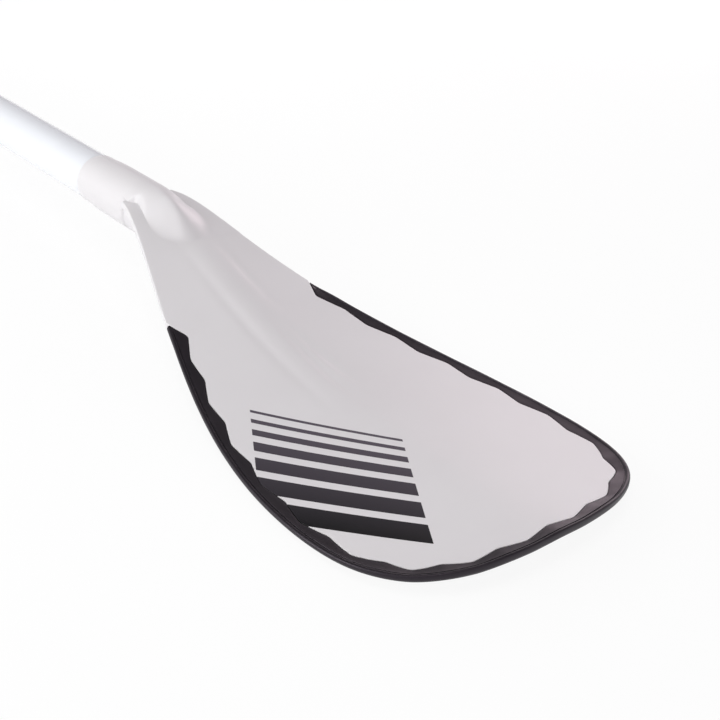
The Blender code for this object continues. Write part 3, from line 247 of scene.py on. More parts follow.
# Fibreglass tube under sprayed white enamel: glossy, cool white, with the slight orange
# peel of a sprayed coat and the ghost of the wound tape under it
sprayedEnamel = {
    "colours": ("#e3e4ea", "#dcdde4"),
    "sockets": {"Roughness": 0.2, "Coat Weight": 0.4, "Coat Roughness": 0.12},
    "patterns": {
        "cloud": ("TexNoise", 40.0, {"Detail": 2.0}),
        "peel": ("TexNoise", 2.5, {"Detail": 1.0}),
    },
    # the tape's bands are 12 mm wide, and the node draws a band in each 2 pi / 20
    "tape": ("TexWave", 12.0 * 20 / (2 * pi), {"Distortion": 0.4}),
    "tone": "cloud",
    "gloss": ("cloud", 0.04, 0.06),
    "reliefs": [("tape", 0.01, 0.15), ("peel", 0.008, 0.15)],
}
shaftPrint = {
    # a scale that shows above the clamp: a tick every centimetre, a longer one every fifth
    "colour": "#26262b",
    "from": -923.8,
    "to": -492.0,
    "tickWide": 0.7,
    "tickReach": (3.0, 6.5),
}


def printScale(tree, place):
    look = shaftPrint
    start, end, wide = look["from"], look["to"], look["tickWide"]
    short, long = look["tickReach"]
    x, y, z = addNode(tree, "SeparateXYZ", {0: place})
    along = addNode(tree, "Math", {0: x, 1: 100.0, 2: (wide / 2 - start) / 10}, operation="MULTIPLY_ADD")[0]
    fifth = addNode(tree, "Math", {0: along, 1: 0.2}, operation="MULTIPLY")[0]
    ticks = []
    for places, share in ((along, wide / 10), (fifth, wide / 50)):
        within = addNode(tree, "Math", {0: places}, operation="FRACT")[0]
        ticks.append(addNode(tree, "Math", {0: within, 1: share}, operation="LESS_THAN")[0])
    further = {0: ticks[1], 1: (long - short) * mm, 2: short * mm}
    reach = addNode(tree, "Math", further, operation="MULTIPLY_ADD")[0]
    aside = addNode(tree, "Math", {0: y}, operation="ABSOLUTE")[0]
    mark = ticks[0]
    for feeds, operation in (
        ({0: aside, 1: reach}, "LESS_THAN"), ({0: z, 1: 0.0}, "GREATER_THAN"),
        ({0: x, 1: (start + end) / 2 * mm, 2: (end - start) / 2 * mm}, "COMPARE"),
    ):
        shows = addNode(tree, "Math", feeds, operation=operation)[0]
        mark = addNode(tree, "Math", {0: mark, 1: shows}, operation="MULTIPLY")[0]
    return mark, linearColour(look["colour"])


def sprayedEnamelTube(name, tapeTurn, printing=None):
    # the tape was wound the other way on the other tube
    tape = (*sprayedEnamel["tape"], {"Rotation": (0.0, tapeTurn, 0.0)})
    return makeMaterial(name, sprayedEnamel | {
        "patterns": sprayedEnamel["patterns"] | {"tape": tape},
    }, printing)


# Moulded plastics and rubber of the clamp, the plugs and the grip: the colours, roughness,
# IOR, and the mould texture's size and depth. That texture is spark-eroded, 0.1 to 0.3 mm
# on the real piece and drawn coarser here
mouldings = {
    # glass-filled nylon as moulded: black with a dry, slightly streaky satin
    "glassFilledNylon": (("#1d1d1f", "#2a2a2c"), 0.46, 1.53, 0.7, 0.02),
    # unfilled nylon, moulded and polished by sliding: mid grey, smoother
    "slidingNylon": (("#8f9094", "#85868a"), 0.34, 1.53, 1.2, 0.008),
    # thermoplastic rubber over the grip: deep grey-black, matt and softly pebbled
    "overmouldedRubber": (("#1b1b1d", "#232325"), 0.7, 1.5, 0.9, 0.05),
    # nitrile cord, moulded: black with a dull oily sheen
    "mouldedNitrile": (("#161617", "#1e1e20"), 0.5, 1.52, 0.6, 0.01),
}


def mouldedPiece(name):
    colours, roughness, ior, grain, depth = mouldings[name]
    return makeMaterial(name, {
        "colours": colours,
        "sockets": {"Roughness": roughness, "IOR": ior},
        "patterns": {
            "streak": ("TexNoise", 18.0, {"Detail": 5.0, "Distortion": 1.2}),
            "grain": ("TexVoronoi", grain, {"feature": "SMOOTH_F1", "Smoothness": 0.8}),
        },
        "tone": "streak",
        "gloss": ("streak", 0.05, 0.07),
        "reliefs": [("grain", depth, 0.8)],
    })


# Cut closed-cell foam: pale straw colour, matt, with its cells open on the cut faces
cutFoam = {
    "colours": ("#c6bea9", "#ddd6c4"),
    "sockets": {"Roughness": 0.9},
    "patterns": {"cell": ("TexVoronoi", 0.8, {})},
    "tone": "cell",
    "reliefs": [("cell", 0.15, 0.7)],
}

# Stainless steel, turned and left bare: bright cool grey with fine rings round its axis
turnedStainless = {
    "colours": ("#c9c8c5", "#b3b2b0"),
    "sockets": {"Roughness": 0.26, "Metallic": 1.0},
    # the tool leaves 0.05 mm rings, drawn at 0.25 mm
    "patterns": {"rings": ("TexNoise", 0.25, {"Detail": 2.0}, {"Scale": (0.02, 0.02, 1.0)})},
    "tone": "rings",
    "gloss": ("rings", 0.06, 0.08),
    "reliefs": [],
}


# Mesh helpers, all in millimetres

def addObject(name, data):
    added = bpy.data.objects.new(name, data)
    bpy.context.scene.collection.objects.link(added)
    return added


def makePiece(name, points, faces, place=None, sharp=38):
    mesh = bpy.data.meshes.new(name)
    mesh.from_pydata([tuple(float(c) * mm for c in p) for p in points], [], faces)
    work = bmesh.new()
    work.from_mesh(mesh)
    bmesh.ops.remove_doubles(work, verts=work.verts, dist=0.002 * mm)
    bmesh.ops.dissolve_degenerate(work, edges=work.edges, dist=0.001 * mm)
    bmesh.ops.recalc_face_normals(work, faces=work.faces)
    work.to_mesh(mesh)
    work.free()
    piece = addObject(name, mesh)
    if place is None:
        mesh.transform(shaftFrame)
    else:
        piece.matrix_world = shaftFrame @ place
    smoothPiece(piece, sharp)
    return piece


def intoRowFrame(piece):
    # a long piece keeps its place in its mesh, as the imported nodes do
    bpy.context.view_layer.update()
    piece.data.transform(piece.matrix_world)
    piece.matrix_world = Matrix.Identity(4)
    return piece


def smoothPiece(piece, sharp=38):
    piece.data.shade_smooth()
    piece.data.set_sharp_from_angle(angle=radians(sharp))


def modify(piece, kind, **settings):
    # the modifier's result becomes the piece's own mesh
    modifier = piece.modifiers.new(kind.lower(), kind)
    for key, value in settings.items():
        setattr(modifier, key, value)
    bpy.context.view_layer.update()
    graph = bpy.context.evaluated_depsgraph_get()
    mesh = bpy.data.meshes.new_from_object(piece.evaluated_get(graph))
    piece.modifiers.clear()
    piece.data = mesh
    smoothPiece(piece)
    return piece


def combine(piece, operation, *others):
    for other in others:
        modify(piece, "BOOLEAN", operation=operation, solver="EXACT", object=other)
        bpy.data.objects.remove(other)
    return piece


def easeEdges(piece, width, segments=2, angle=32):
    return modify(piece, "BEVEL", width=width * mm, segments=segments, limit_method="ANGLE",
                  angle_limit=radians(angle), harden_normals=False)


def quads(rows, count, around=False, ring=False):
    # faces between rows of points: the last row may meet the first, and each may be a ring
    faces = []
    for i in range(rows if around else rows - 1):
        here, there = i * count, (i + 1) % rows * count
        for j in range(count if ring else count - 1):
            k = (j + 1) % count
            faces.append((here + j, here + k, there + k, there + j))
    return faces


def turned(name, profile, place, steps=96, ring=False, ribs=0):
    # a profile of (radius, height), turned about the local Z axis; where a point has a
    # third number, it stands out that far on the ribs
    points = []
    for i in range(steps):
        angle = 2 * pi * i / steps
        wave = abs(2 * (i * ribs / steps % 1) - 1)
        for r, z, *out in profile:
            radius = r + sum(out) * wave
            points.append((radius * cos(angle), radius * sin(angle), z))
    return makePiece(name, points, quads(steps, len(profile), True, ring), place)


def tube(name, rings, place=None, sharp=38):
    # rings of points, joined and closed at both ends
    count = len(rings[0])
    last = (len(rings) - 1) * count
    faces = quads(len(rings), count, ring=True) + [tuple(range(count)), tuple(range(last, last + count))]
    return makePiece(name, [point for ring in rings for point in ring], faces, place, sharp)


def rod(name, radius, low, high, place, steps=48):
    return turned(name, [(0, high), (radius, high), (radius, low), (0, low)], place, steps)


def slab(name, outline, low, high, place):
    # a flat outline with a thickness along local Z
    count = len(outline)
    points = [(x, y, low) for x, y in outline] + [(x, y, high) for x, y in outline]
    faces = [tuple(range(count)), tuple(range(2 * count - 1, count - 1, -1))]
    faces += [(i, (i + 1) % count, count + (i + 1) % count, count + i) for i in range(count)]
    return makePiece(name, points, faces, place)


def box(name, low, high, place):
    outline = [(low[0], low[1]), (high[0], low[1]), (high[0], high[1]), (low[0], high[1])]
    return slab(name, outline, low[2], high[2], place)


# Round pieces have local Z towards the grip, Y out of the power face and X to the left
facingGrip = Matrix(((0, 0, -1, 0), (-1, 0, 0, 0), (0, 1, 0, 0), (0, 0, 0, 1)))
leftward = Matrix.Rotation(pi / 2, 4, "Y")


def onShaft(x, left=0.0, up=0.0, along=0.0):
    to = Matrix.Translation(Vector((x, 0, 0)) * mm)
    return to @ facingGrip @ Matrix.Translation(Vector((left, up, along)) * mm)


def dress(piece, material, body, slot, *nodes):
    piece.data.materials.clear()
    piece.data.materials.append(material)
    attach(piece, body)
    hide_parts(*nodes)
    return piece


# Blade

blade = {
    "webStart": -106.5,
    "tip": 261.5,
    "halfWidth": 90.3,
    "webHalfWidth": 18.2,
    "widestX": 176.0,
    "shoulderSlope": 0.25,
    "handles": {"shoulder": 103.0, "flank": 95.0, "corner": 58.0, "tip": 70.0},
    "webHeight": 8.6,
    "levelRun": 5.0,
    "scoopX": 164.5,
    "scoopDepth": 47.7,
    "scoopHandles": (41.0, 169.0),
    "tipLift": 4.4,
    "ridgeRise": 5.5,
    "ridgeSoftness": 0.15,
    "webThickness": 5.2,
    "edgeThickness": 3.6,
    "spine": (4.0, 1.5),  # at the neck and at the tip
    "skin": 0.8,
    "skinEdge": 0.15,  # how far a skin's own edge is rounded beside the rail
    "seam": 0.04,  # the two mouldings are bonded, so their parting line hardly shows
}
neck = {
    "sleeveRadius": 17.5,
    "sleeveEnd": -170.0,
    "endRadius": 16.55,  # the sleeve thins towards its end
    "taper": 26.0,
    "endRound": 0.2,
    "boreRadius": 16.15,
    "boreEnd": -103.7,
    "shoulder": 5.5,
    "keelStart": 36.0,
    "keelLength": 44.0,
    "backFillet": 6.0,
    "sideRound": 0.9,
}
hump = {
    # the tube runs out into the power face as a hump with a round nose: place along the
    # shaft with the crest's height, and with the distance of the hump's foot from the middle
    "crest": [(-106.5, 17.5), (-95.0, 17.4), (-84.0, 16.4), (-68.0, 15.0), (-50.0, 13.5)],
    "foot": [(-106.5, 17.0), (-103.6, 16.8), (-102.4, 14.4), (-101.0, 12.7), (-98.5, 11.9),
             (-95.0, 12.3), (-90.4, 13.4), (-85.1, 15.0), (-75.7, 18.4), (-69.6, 21.0), (-61.9, 24.0)],
    "nose": (-86.0, -50.0),
    "noseFade": 0.9,
    "tube": (-98.0, -82.0),  # from a tube with a cut-in side to the hump's own arch
    "sides": (0.5, 1.7),  # the arch's power at the tube and at the nose
    "sidesOver": (-94.0, -64.0),
    "crestBend": 0.45,
    "crestSoftness": 0.12,
    "wallSlope": 3.5,
    "footEase": 0.6,
    "footBand": (0.8, 1.6),  # finer columns from this share of the foot to this far past it
}
flutes = {
    # shallow flow marks that fan out from the hump down the middle of the blade: from and to
    # (place along the shaft, to the right), width and depth; below zero the face swells instead
    "marks": [((-75.0, -10.0), (130.0, -15.0), 3.8, 0.5), ((12.0, 4.5), (125.0, 2.5), 3.2, 0.75),
              ((15.0, 8.5), (108.0, 14.0), 2.8, 0.7), ((-78.0, 13.5), (30.0, 14.5), 3.5, 0.4),
              ((-86.0, 0.0), (80.0, 0.0), 18.0, -1.5), ((70.0, 0.0), (205.0, 0.0), 5.0, -0.2)],
}
rail = {
    "toLength": 110.96685,  # along the outline from the web's start to the rail's start
    "length": 327.06382,
    "narrow": 6.4,
    "wide": 9.8,
    "startWidth": 1.6,
    "lead": 2.5,
    "gap": 0.3,
    "tongue": 15.0,
    "round": 1.6,
    "lift": (1.3, 2.6),  # how far the rim curls up, at the sides and at the tip
    "groove": (2.0, 2.9, 0.45),  # from, to and depth, counted in from the rim
    "cornerRound": 1.8,  # how far each bend of the wavy edge is eased
    "teeth": [10.3, 47.5, 84.7, 121.9, 159.1, 196.3, 233.5, 264.688, 295.876, 327.064],
    "solidTo": 15.3,  # the skins and the rail are hollow past this place along it
}
# how finely it is meshed: columns across half of it, and rows along it
arcColumns, filletColumns, webColumns, edgeColumns = 22, 8, 12, 4
columnCount = arcColumns + filletColumns + webColumns
edgeAngles = np.linspace(0, pi / 2, edgeColumns + 1)[1:]
sleeveRows, shoulderRows, skinRows, railRows, neckStep = 24, 14, 190, 280, 0.8
fanStart, fanEnd = 149.5, 214.5  # the rows fan out between these places at the tip


def curvePoints(a, b, c, d, steps):
    t = np.linspace(0, 1, steps + 1)[:, None]
    a, b, c, d = (np.array(p, float) for p in (a, b, c, d))
    return a * (1 - t) ** 3 + 3 * b * t * (1 - t) ** 2 + 3 * c * t * t * (1 - t) + d * t**3


def softStep(x, start, end):
    # from 0 at the start to 1 at the end, eased at both
    part = np.clip((x - start) / (end - start), 0.0, 1.0)
    return part * part * (3 - 2 * part)


def bladeCurves():
    handles, slope = blade["handles"], blade["shoulderSlope"]
    reach = handles["shoulder"] / hypot(1, slope)
    startX, startY = blade["webStart"], blade["webHalfWidth"]
    wideX, wideY = blade["widestX"], blade["halfWidth"]
    tip, widest = blade["tip"], (wideX, wideY)
    first = (startX + reach, startY + reach * slope)
    flank = ((startX, startY), first, (wideX - handles["flank"], wideY), widest)
    corner = (widest, (wideX + handles["corner"], wideY), (tip, handles["tip"]), (tip, 0))
    level, height = startX + blade["levelRun"], blade["webHeight"]
    first, last = blade["scoopHandles"]
    lowX, lowZ = blade["scoopX"], -blade["scoopDepth"]
    scoop = ((level, height), (level + first, height), (lowX - last, lowZ), (lowX, lowZ))
    return flank, corner, scoop


flankCurve, cornerCurve, scoopCurve = bladeCurves()
flankTable = curvePoints(*flankCurve, 1500)
scoopTable = curvePoints(*scoopCurve, 1500)
outline = np.concatenate([curvePoints(*flankCurve, 600)[:-1], curvePoints(*cornerCurve, 600)])
outlineLengths = np.append(0.0, np.cumsum(np.hypot(*np.diff(outline, axis=0).T)))
outlineWays = np.gradient(outline, outlineLengths, axis=0)
outlineWays[-1] = (0.0, -1.0)


def outlineAt(along, inset=0.0):
    # a point of the outline this far along the rail, moved in by the inset
    length = np.clip(rail["toLength"] + along, 0.0, outlineLengths[-1])
    tables = [*outline.T, *outlineWays.T]
    x, y, wayX, wayY = (np.interp(length, outlineLengths, table) for table in tables)
    size = np.hypot(wayX, wayY)
    x = x + wayY / size * inset
    y = y - wayX / size * inset
    return x, np.where(along >= rail["length"] - 0.01, 0.0, np.maximum(y, 0.0))


def halfWidth(x):
    flank = np.interp(x, flankTable[:, 0], flankTable[:, 1])
    return np.where(x >= blade["widestX"], blade["halfWidth"], flank)


def edgeHeight(x):
    scooped = np.interp(x, scoopTable[:, 0], scoopTable[:, 1])
    toTip = (x - blade["scoopX"]) / (blade["tip"] - blade["scoopX"])
    rising = -blade["scoopDepth"] + blade["tipLift"] * toTip**2
    return np.where(x < blade["scoopX"], scooped, rising)


def intoBlade(x):
    return softStep(x, blade["webStart"], 0.0)


def shareOfWidth(x, y):
    return np.minimum(np.abs(y) / halfWidth(x), 1.0)


def faceHeight(x, y):
    soft = blade["ridgeSoftness"]
    top = hypot(1, soft)
    ridge = (top - np.hypot(shareOfWidth(x, y), soft)) / (top - soft)
    return edgeHeight(x) + blade["ridgeRise"] * intoBlade(x) * ridge


def thickness(x):
    thin = blade["edgeThickness"] - blade["webThickness"]
    return blade["webThickness"] + thin * intoBlade(x)


def backHeight(x, y):
    toTip = softStep(x, 0.0, blade["tip"])
    atNeck, atTip = blade["spine"]
    spine = (atNeck * (1 - toTip) + atTip * toTip) * intoBlade(x)
    return faceHeight(x, y) - thickness(x) - spine * (1 - shareOfWidth(x, y) ** 2)


def partingHeight(x):
    start = softStep(x, blade["webStart"] - neck["shoulder"], blade["webStart"])
    return start * (edgeHeight(x) - thickness(x) / 2)


def fluteDepth(x, y):
    # each flow mark is a soft groove that fades at both ends
    depth = 0.0
    for (startX, startY), (endX, endY), width, deep in flutes["marks"]:
        part = np.clip((x - startX) / (endX - startX), 0.0, 1.0)
        middle = startY + (endY - startY) * part
        depth = depth + deep * np.sin(pi * part) ** 1.3 * np.exp(-(((y - middle) / width) ** 2))
    return depth


def keelRise(x, rise):
    # on the back a whole tube would stand out of the web by this rise, and the keel runs out
    start = blade["webStart"] + neck["keelStart"]
    return rise * (1 - softStep(x, start, start + neck["keelLength"]))


def alongHump(name, x):
    return np.interp(x, *zip(*hump[name]))


def humpFoot(x):
    start, end = hump["nose"]
    past = max((x - start) / (end - start), 0.0)
    return alongHump("foot", x) * sqrt(max(1 - past * past, 0.0)), past


def humpRise(x, y):
    # how far the hump stands out of the web: a tube at first, then an arch with a crest
    foot, past = humpFoot(x)
    if past >= 1:
        return y * 0.0
    share = np.minimum(np.hypot(y / alongHump("foot", x), past), 1.0)
    atTube, atNose = hump["sides"]
    power = atTube + (atNose - atTube) * softStep(x, *hump["sidesOver"])
    height = alongHump("crest", x) - float(faceHeight(x, 0.0))
    radius, soft = neck["sleeveRadius"], hump["crestSoftness"]
    bent = np.hypot(y / radius, soft) - soft
    arch = height * (1 - share * share) ** power * (1 - hump["crestBend"] * bent)
    whole = np.maximum(np.sqrt(np.maximum(radius * radius - y * y, 0.0)) - faceHeight(x, y), 1e-4)
    wall = np.maximum(hump["wallSlope"] * (foot - y), 1e-4)
    whole = whole * wall / (whole**4 + wall**4) ** 0.25
    rise = whole + (arch - whole) * softStep(x, *hump["tube"])
    # nothing below zero, with the bend at zero rounded
    rise = (rise + np.hypot(rise, hump["footEase"])) / 2
    return rise * (1 - softStep(past, hump["noseFade"], 1.0))


def sleeveSection(side, radius):
    last = asin(blade["seam"] / 2 / radius)
    angles = np.linspace(pi / 2, last, columnCount + 1)
    y, z = radius * np.cos(angles), side * radius * np.sin(angles)
    return np.append(y, [y[-1]] * edgeColumns), np.append(z, [z[-1]] * edgeColumns)


def flatWidth(x):
    return float(halfWidth(x)) - neck["sideRound"]


def roundedEdge(y, z, side):
    radius = neck["sideRound"]
    y = np.append(y, y[-1] + radius * np.sin(edgeAngles))
    return y, np.append(z, z[-1] - side * radius * (1 - np.cos(edgeAngles)))


def faceSection(x):
    # half a section of the neck's power face, centre to edge: the hump, its foot, the web
    width = flatWidth(x)
    foot = max(min(humpFoot(x)[0], width - 0.2), 5.0)
    before, past = hump["footBand"]
    inside, outside = before * foot, min(foot + past, width - 0.1)
    y = np.concatenate([
        np.linspace(0, inside, arcColumns - 2)[:-1], np.linspace(inside, outside, filletColumns + 8),
        np.linspace(outside, width, webColumns - 3)[1:],
    ])
    # past the hump the columns even out, so that flow marks cross into the blade smoothly
    evenFrom = hump["nose"][1] + 1
    y = y + (np.linspace(0, width, len(y)) - y) * softStep(x, evenFrom, evenFrom + 20.0)
    return roundedEdge(y, faceHeight(x, y) + humpRise(x, y), 1)


def backSection(x):
    # the same of its back: an arc round the shaft, a fillet, the web
    width = flatWidth(x)
    level = -float(backHeight(x, width))
    reach, radius = neck["backFillet"], neck["sleeveRadius"]
    lift = min(max((level + reach) / radius, 0.05), 0.9)
    last = asin(lift)
    inner = radius * cos(last)
    bend = min(inner + max(radius * lift - level, 0) * sin(last) / cos(last), width - 0.6)
    outer = min(bend + 0.8 * reach, width - 0.3)
    angles = np.linspace(pi / 2, last, arcColumns + 1)
    y = radius * np.cos(angles)
    flat = -backHeight(x, y)
    z = -(flat + keelRise(x, np.maximum(radius * np.sin(angles) - flat, 1e-6)))
    t = np.linspace(0, 1, filletColumns + 1)[1:]
    middle, end = float(backHeight(x, bend)), float(backHeight(x, outer))
    y = np.append(y, inner * (1 - t) ** 2 + bend * 2 * t * (1 - t) + outer * t * t)
    z = np.append(z, z[-1] * (1 - t) ** 2 + middle * 2 * t * (1 - t) + end * t * t)
    flatY = outer + (width - outer) * np.linspace(0, 1, webColumns + 1)[1:]
    return roundedEdge(np.append(y, flatY), np.append(z, backHeight(x, flatY)), -1)


def railBends():
    teeth = rail["teeth"]
    return sorted(teeth + [(a + b) / 2 for a, b in zip(teeth, teeth[1:])])


def railStations(start, steps):
    # even steps along the rail, with more where the wavy edge bends
    even = np.linspace(start, rail["length"], steps)
    near = [bend + rail["cornerRound"] * shift for bend in railBends() for shift in (-1, -0.5, 0, 0.5, 1)]
    both = np.unique(np.round(np.concatenate([even, near]), 3))
    both = both[both <= rail["length"] - 0.02]
    return np.append(both[np.append(np.diff(both) > 0.15, True)], rail["length"])


def railWidth(along):
    # a zigzag: wide at each tooth and narrow half way between two, its bends slightly eased
    along = np.atleast_1d(np.asarray(along, float))
    knots = [0.0] + railBends()
    widths = [rail["wide"] if knot in rail["teeth"] else rail["narrow"] for knot in knots]
    widths[0] = rail["startWidth"]
    knots += [knots[-1] + (knots[-1] - k) for k in knots[-2:-4:-1]]
    widths += widths[-2:-4:-1]
    shifts = np.linspace(-1, 1, 7) * rail["cornerRound"]
    return sum(np.interp(np.maximum(along + shift, 0.0), knots, widths) for shift in shifts) / len(shifts)


def skinInset(along):
    # how far the skins stay inside the outline
    slope = (rail["startWidth"] + rail["gap"]) / rail["lead"]
    before = np.maximum(along + rail["lead"], 0.0) * slope
    return np.where(along < 0, before, railWidth(np.maximum(along, 0.0)) + rail["gap"])


def bladeRow(along, inset, parts):
    x, y = (float(c) for c in outlineAt(along, inset))
    centre = x
    if x > fanStart:
        centre = fanStart + (fanEnd - fanStart) * (x - fanStart) / (blade["tip"] - fanStart)
    return centre + (x - centre) * parts, y * parts


def skinGrids(side):
    # outer and inner grids of one skin's right half: side 1 is the power face
    web, section = (faceHeight, faceSection) if side > 0 else (backHeight, backSection)
    seam = side * blade["seam"] / 2
    outer, inner = [], []

    def addRow(x, y, z, solid=True):
        x = x + 0.0 * y
        under = partingHeight(x) + seam
        if x[0] < neck["boreEnd"]:
            bore = np.sqrt(np.maximum(neck["boreRadius"] ** 2 - y**2, 0.0))
            under = np.where(bore > np.abs(under), side * bore, under)
        if not solid:
            under = web(x, y) - side * blade["skin"]
        outer.append(np.stack([x, y, z], 1))
        inner.append(np.stack([x, y, under], 1))

    end, endRound, sleeve = neck["sleeveEnd"], neck["endRound"], neck["sleeveRadius"]
    for turn in (radians(angle) for angle in (0, 30, 60, 90)):
        y, z = sleeveSection(side, neck["endRadius"] - endRound * (1 - sin(turn)))
        addRow(end + endRound * (1 - cos(turn)), y, z)
    for x in np.linspace(end + 2, blade["webStart"] - neck["shoulder"], sleeveRows):
        thinned = softStep(x, end + neck["taper"], end)
        addRow(x, *sleeveSection(side, sleeve + (neck["endRadius"] - sleeve) * thinned))
    neckEnd = blade["webStart"] + neck["keelStart"] + neck["keelLength"]
    beforeBore = np.linspace(blade["webStart"], neck["boreEnd"] - 0.02, 4)
    afterBore = np.arange(neck["boreEnd"] + 0.02, neckEnd, neckStep)
    for x in np.concatenate([beforeBore, afterBore]):
        addRow(x, *section(x))
    lastNeck = float(outlineAt(-rail["lead"])[0])
    parts = np.linspace(0, 1, columnCount + 1)
    for x in np.linspace(neckEnd, lastNeck - 1.5, shoulderRows):
        y = parts * flatWidth(x)
        addRow(x, *roundedEdge(y, web(x + 0 * y, y), side))
    least = blade["skinEdge"]
    for along in railStations(-rail["lead"], skinRows):
        inset = float(skinInset(along)[0])
        rounded = least + (neck["sideRound"] - least) * softStep(along, 0.0, -rail["lead"])
        x, y = bladeRow(along, inset + rounded, parts)
        edges = [outlineAt(along, inset + rounded * (1 - sin(a))) for a in edgeAngles]
        edgeX, edgeY = np.array([[float(c) for c in edge] for edge in edges]).T
        edgeZ = web(edgeX, edgeY) - side * rounded * (1 - np.cos(edgeAngles))
        z = np.append(web(x, y), edgeZ)
        addRow(np.append(x, edgeX), np.append(y, edgeY), z, along < rail["solidTo"])
    return np.array(outer), np.array(inner)


def bothHalves(grid):
    left = grid[:, :0:-1].copy()
    left[:, :, 1] *= -1
    return np.concatenate([left, grid], axis=1)


def makeSkin(name, side):
    outer, inner = (bothHalves(grid) for grid in skinGrids(side))
    if side > 0:
        outer[:, :, 2] -= fluteDepth(outer[:, :, 0], outer[:, :, 1])
    rows, columns = outer.shape[:2]
    count = rows * columns
    faces = quads(rows, columns)
    faces += [tuple(i + count for i in face) for face in faces]
    sides = [[i * columns + j for i in range(rows)] for j in (0, columns - 1)]
    for rim in sides + [list(range(columns))]:
        faces += [(a, b, b + count, a + count) for a, b in zip(rim, rim[1:])]
    return makePiece(name, np.concatenate([outer.reshape(-1, 3), inner.reshape(-1, 3)]), faces, sharp=42)


def railProfile(width, half):
    # inset, side and depth of each point, from the inner border over the rim to the back
    rounded = min(rail["round"], 0.8 * width)
    start, end, depth = rail["groove"]
    angles = np.linspace(0, pi / 2, 8)
    over = [(rounded * (1 - sin(a)), half * (1 - cos(a))) for a in angles]
    front = [(width, 0.35), (width - 0.12, 0.06), (width - 0.4, 0.0)]
    if width > end + 1.5:
        front += [(0.5 * (width + end), 0.0), (end + 0.1, 0.0), (end - 0.1, 0.8 * depth)]
        front += [(0.5 * (start + end), depth), (start + 0.1, 0.8 * depth), (start - 0.1, 0.0)]
    else:
        part = (width - 0.4 - rounded) / 7
        front += [(width - 0.4 - part * i, 0.0) for i in range(1, 7)]
    back = over[::-1][1:] + [(0.5 * (width + rounded), 0.0), (width - 0.4, 0.0), (width, 0.3)]
    profile = [(inset, 1, depth) for inset, depth in front + over]
    profile += [(inset, -1, depth) for inset, depth in back]
    hidden = blade["skin"] + rail["gap"]
    tongue = max(rail["tongue"], width)
    return profile + [(width, -1, hidden), (tongue, -1, hidden), (tongue, 1, hidden), (width, 1, hidden)]


def railSection(along):
    width = float(railWidth(along)[0])
    half = float(thickness(float(outlineAt(along)[0]))) / 2
    teeth, (atStart, atTip) = rail["teeth"], rail["lift"]
    lift = atStart + (atTip - atStart) * softStep(along, teeth[-5], teeth[-2])
    lift *= softStep(along, 0.0, 2 * teeth[0])
    points = []
    for inset, side, depth in railProfile(width, half):
        if along <= rail["solidTo"] + 0.3 and inset > width:
            inset = width + 0.1
        x, y = outlineAt(along, inset)
        surface = faceHeight(x, y) if side > 0 else backHeight(x, y)
        curl = lift * max(1 - inset / width, 0.0) ** 2
        points.append((float(x), float(y), float(surface) - side * depth + curl))
    return points[::-1]


def makeRail():
    right = [railSection(a) for a in railStations(0.0, railRows)]
    left = [[(x, -y, z) for x, y, z in section] for section in right[-2::-1]]
    return tube("edgeRail", right + left, sharp=40)


powerSkin = makeSkin("bladePowerSkin", 1)
backSkin = makeSkin("bladeBackSkin", -1)
edgeRail = makeRail()
printedSkin = makeMaterial("satinMouldedAbsPrinted", satinMouldedAbs, printBars)
plainSkin = makeMaterial("satinMouldedAbs", satinMouldedAbs)
dress(powerSkin, printedSkin, "lower_section", "blade_skin", "blade_power_skin")
dress(backSkin, plainSkin, "lower_section", "blade_skin", "blade_back_skin")
dress(edgeRail, makeMaterial("blackMouldedAbs", blackMouldedAbs), "lower_section", "edge_rail", "edge_rail")
print("blade:", len(powerSkin.data.polygons) + len(backSkin.data.polygons), "faces, rail:",
      len(edgeRail.data.polygons))


# Shafts

shafts = {
    "lowerFoot": -104.0,
    "lowerLength": 796.0,
    "lowerRadius": 16.0,
    "lowerBore": 14.5,
    "upperFoot": -365.0,
    "upperLength": 1020.0,
    "upperRadius": 14.0,
    "upperBore": 12.5,
    "keywayWidth": 4.4,
    "keywayDepth": 0.8,
    "keywayStop": 150.0,
    "screwFromEnd": 20.0,
    "endEase": 0.4,
}


def makeShaft(name, which):
    outer, bore, length, foot = (shafts[which + part] for part in ("Radius", "Bore", "Length", "Foot"))
    edge = shafts["endEase"]
    profile = [(outer, edge), (outer, length - edge), (outer - edge, length), (bore + edge, length),
               (bore, length - edge), (bore, edge), (bore + edge, 0), (outer - edge, 0)]
    return turned(name, profile, onShaft(foot), ring=True)


def screwPlace():
    # the screw's head lies just under the upper shaft's back
    end = shafts["upperFoot"] - shafts["upperLength"]
    place = onShaft(end, 0, 0.3 - shafts["upperRadius"], -shafts["screwFromEnd"])
    return place @ Matrix.Rotation(pi / 2, 4, "X")


def makeUpperShaft():
    half = shafts["keywayWidth"] / 2
    floor = shafts["upperRadius"] - shafts["keywayDepth"]
    end = shafts["upperLength"] - shafts["keywayStop"]
    keyway = box("keyway", (-half, -20, -5), (half, -floor, end), onShaft(shafts["upperFoot"]))
    seat = turned("screwSeat", [(0, 3), (3.2, 3), (3.2, 0), (1.7, -1.5), (1.7, -8), (0, -8)],
                  screwPlace(), 32)
    return combine(makeShaft("upperShaft", "upper"), "DIFFERENCE", keyway, seat)


dress(intoRowFrame(makeShaft("lowerShaft", "lower")), sprayedEnamelTube("sprayedEnamelLower", 0.9),
      "lower_section", "shaft_coat", "lower_shaft")
dress(intoRowFrame(makeUpperShaft()), sprayedEnamelTube("sprayedEnamelUpper", -0.9, printScale),
      "upper_section", "shaft_coat", "upper_shaft")
print("shafts done")


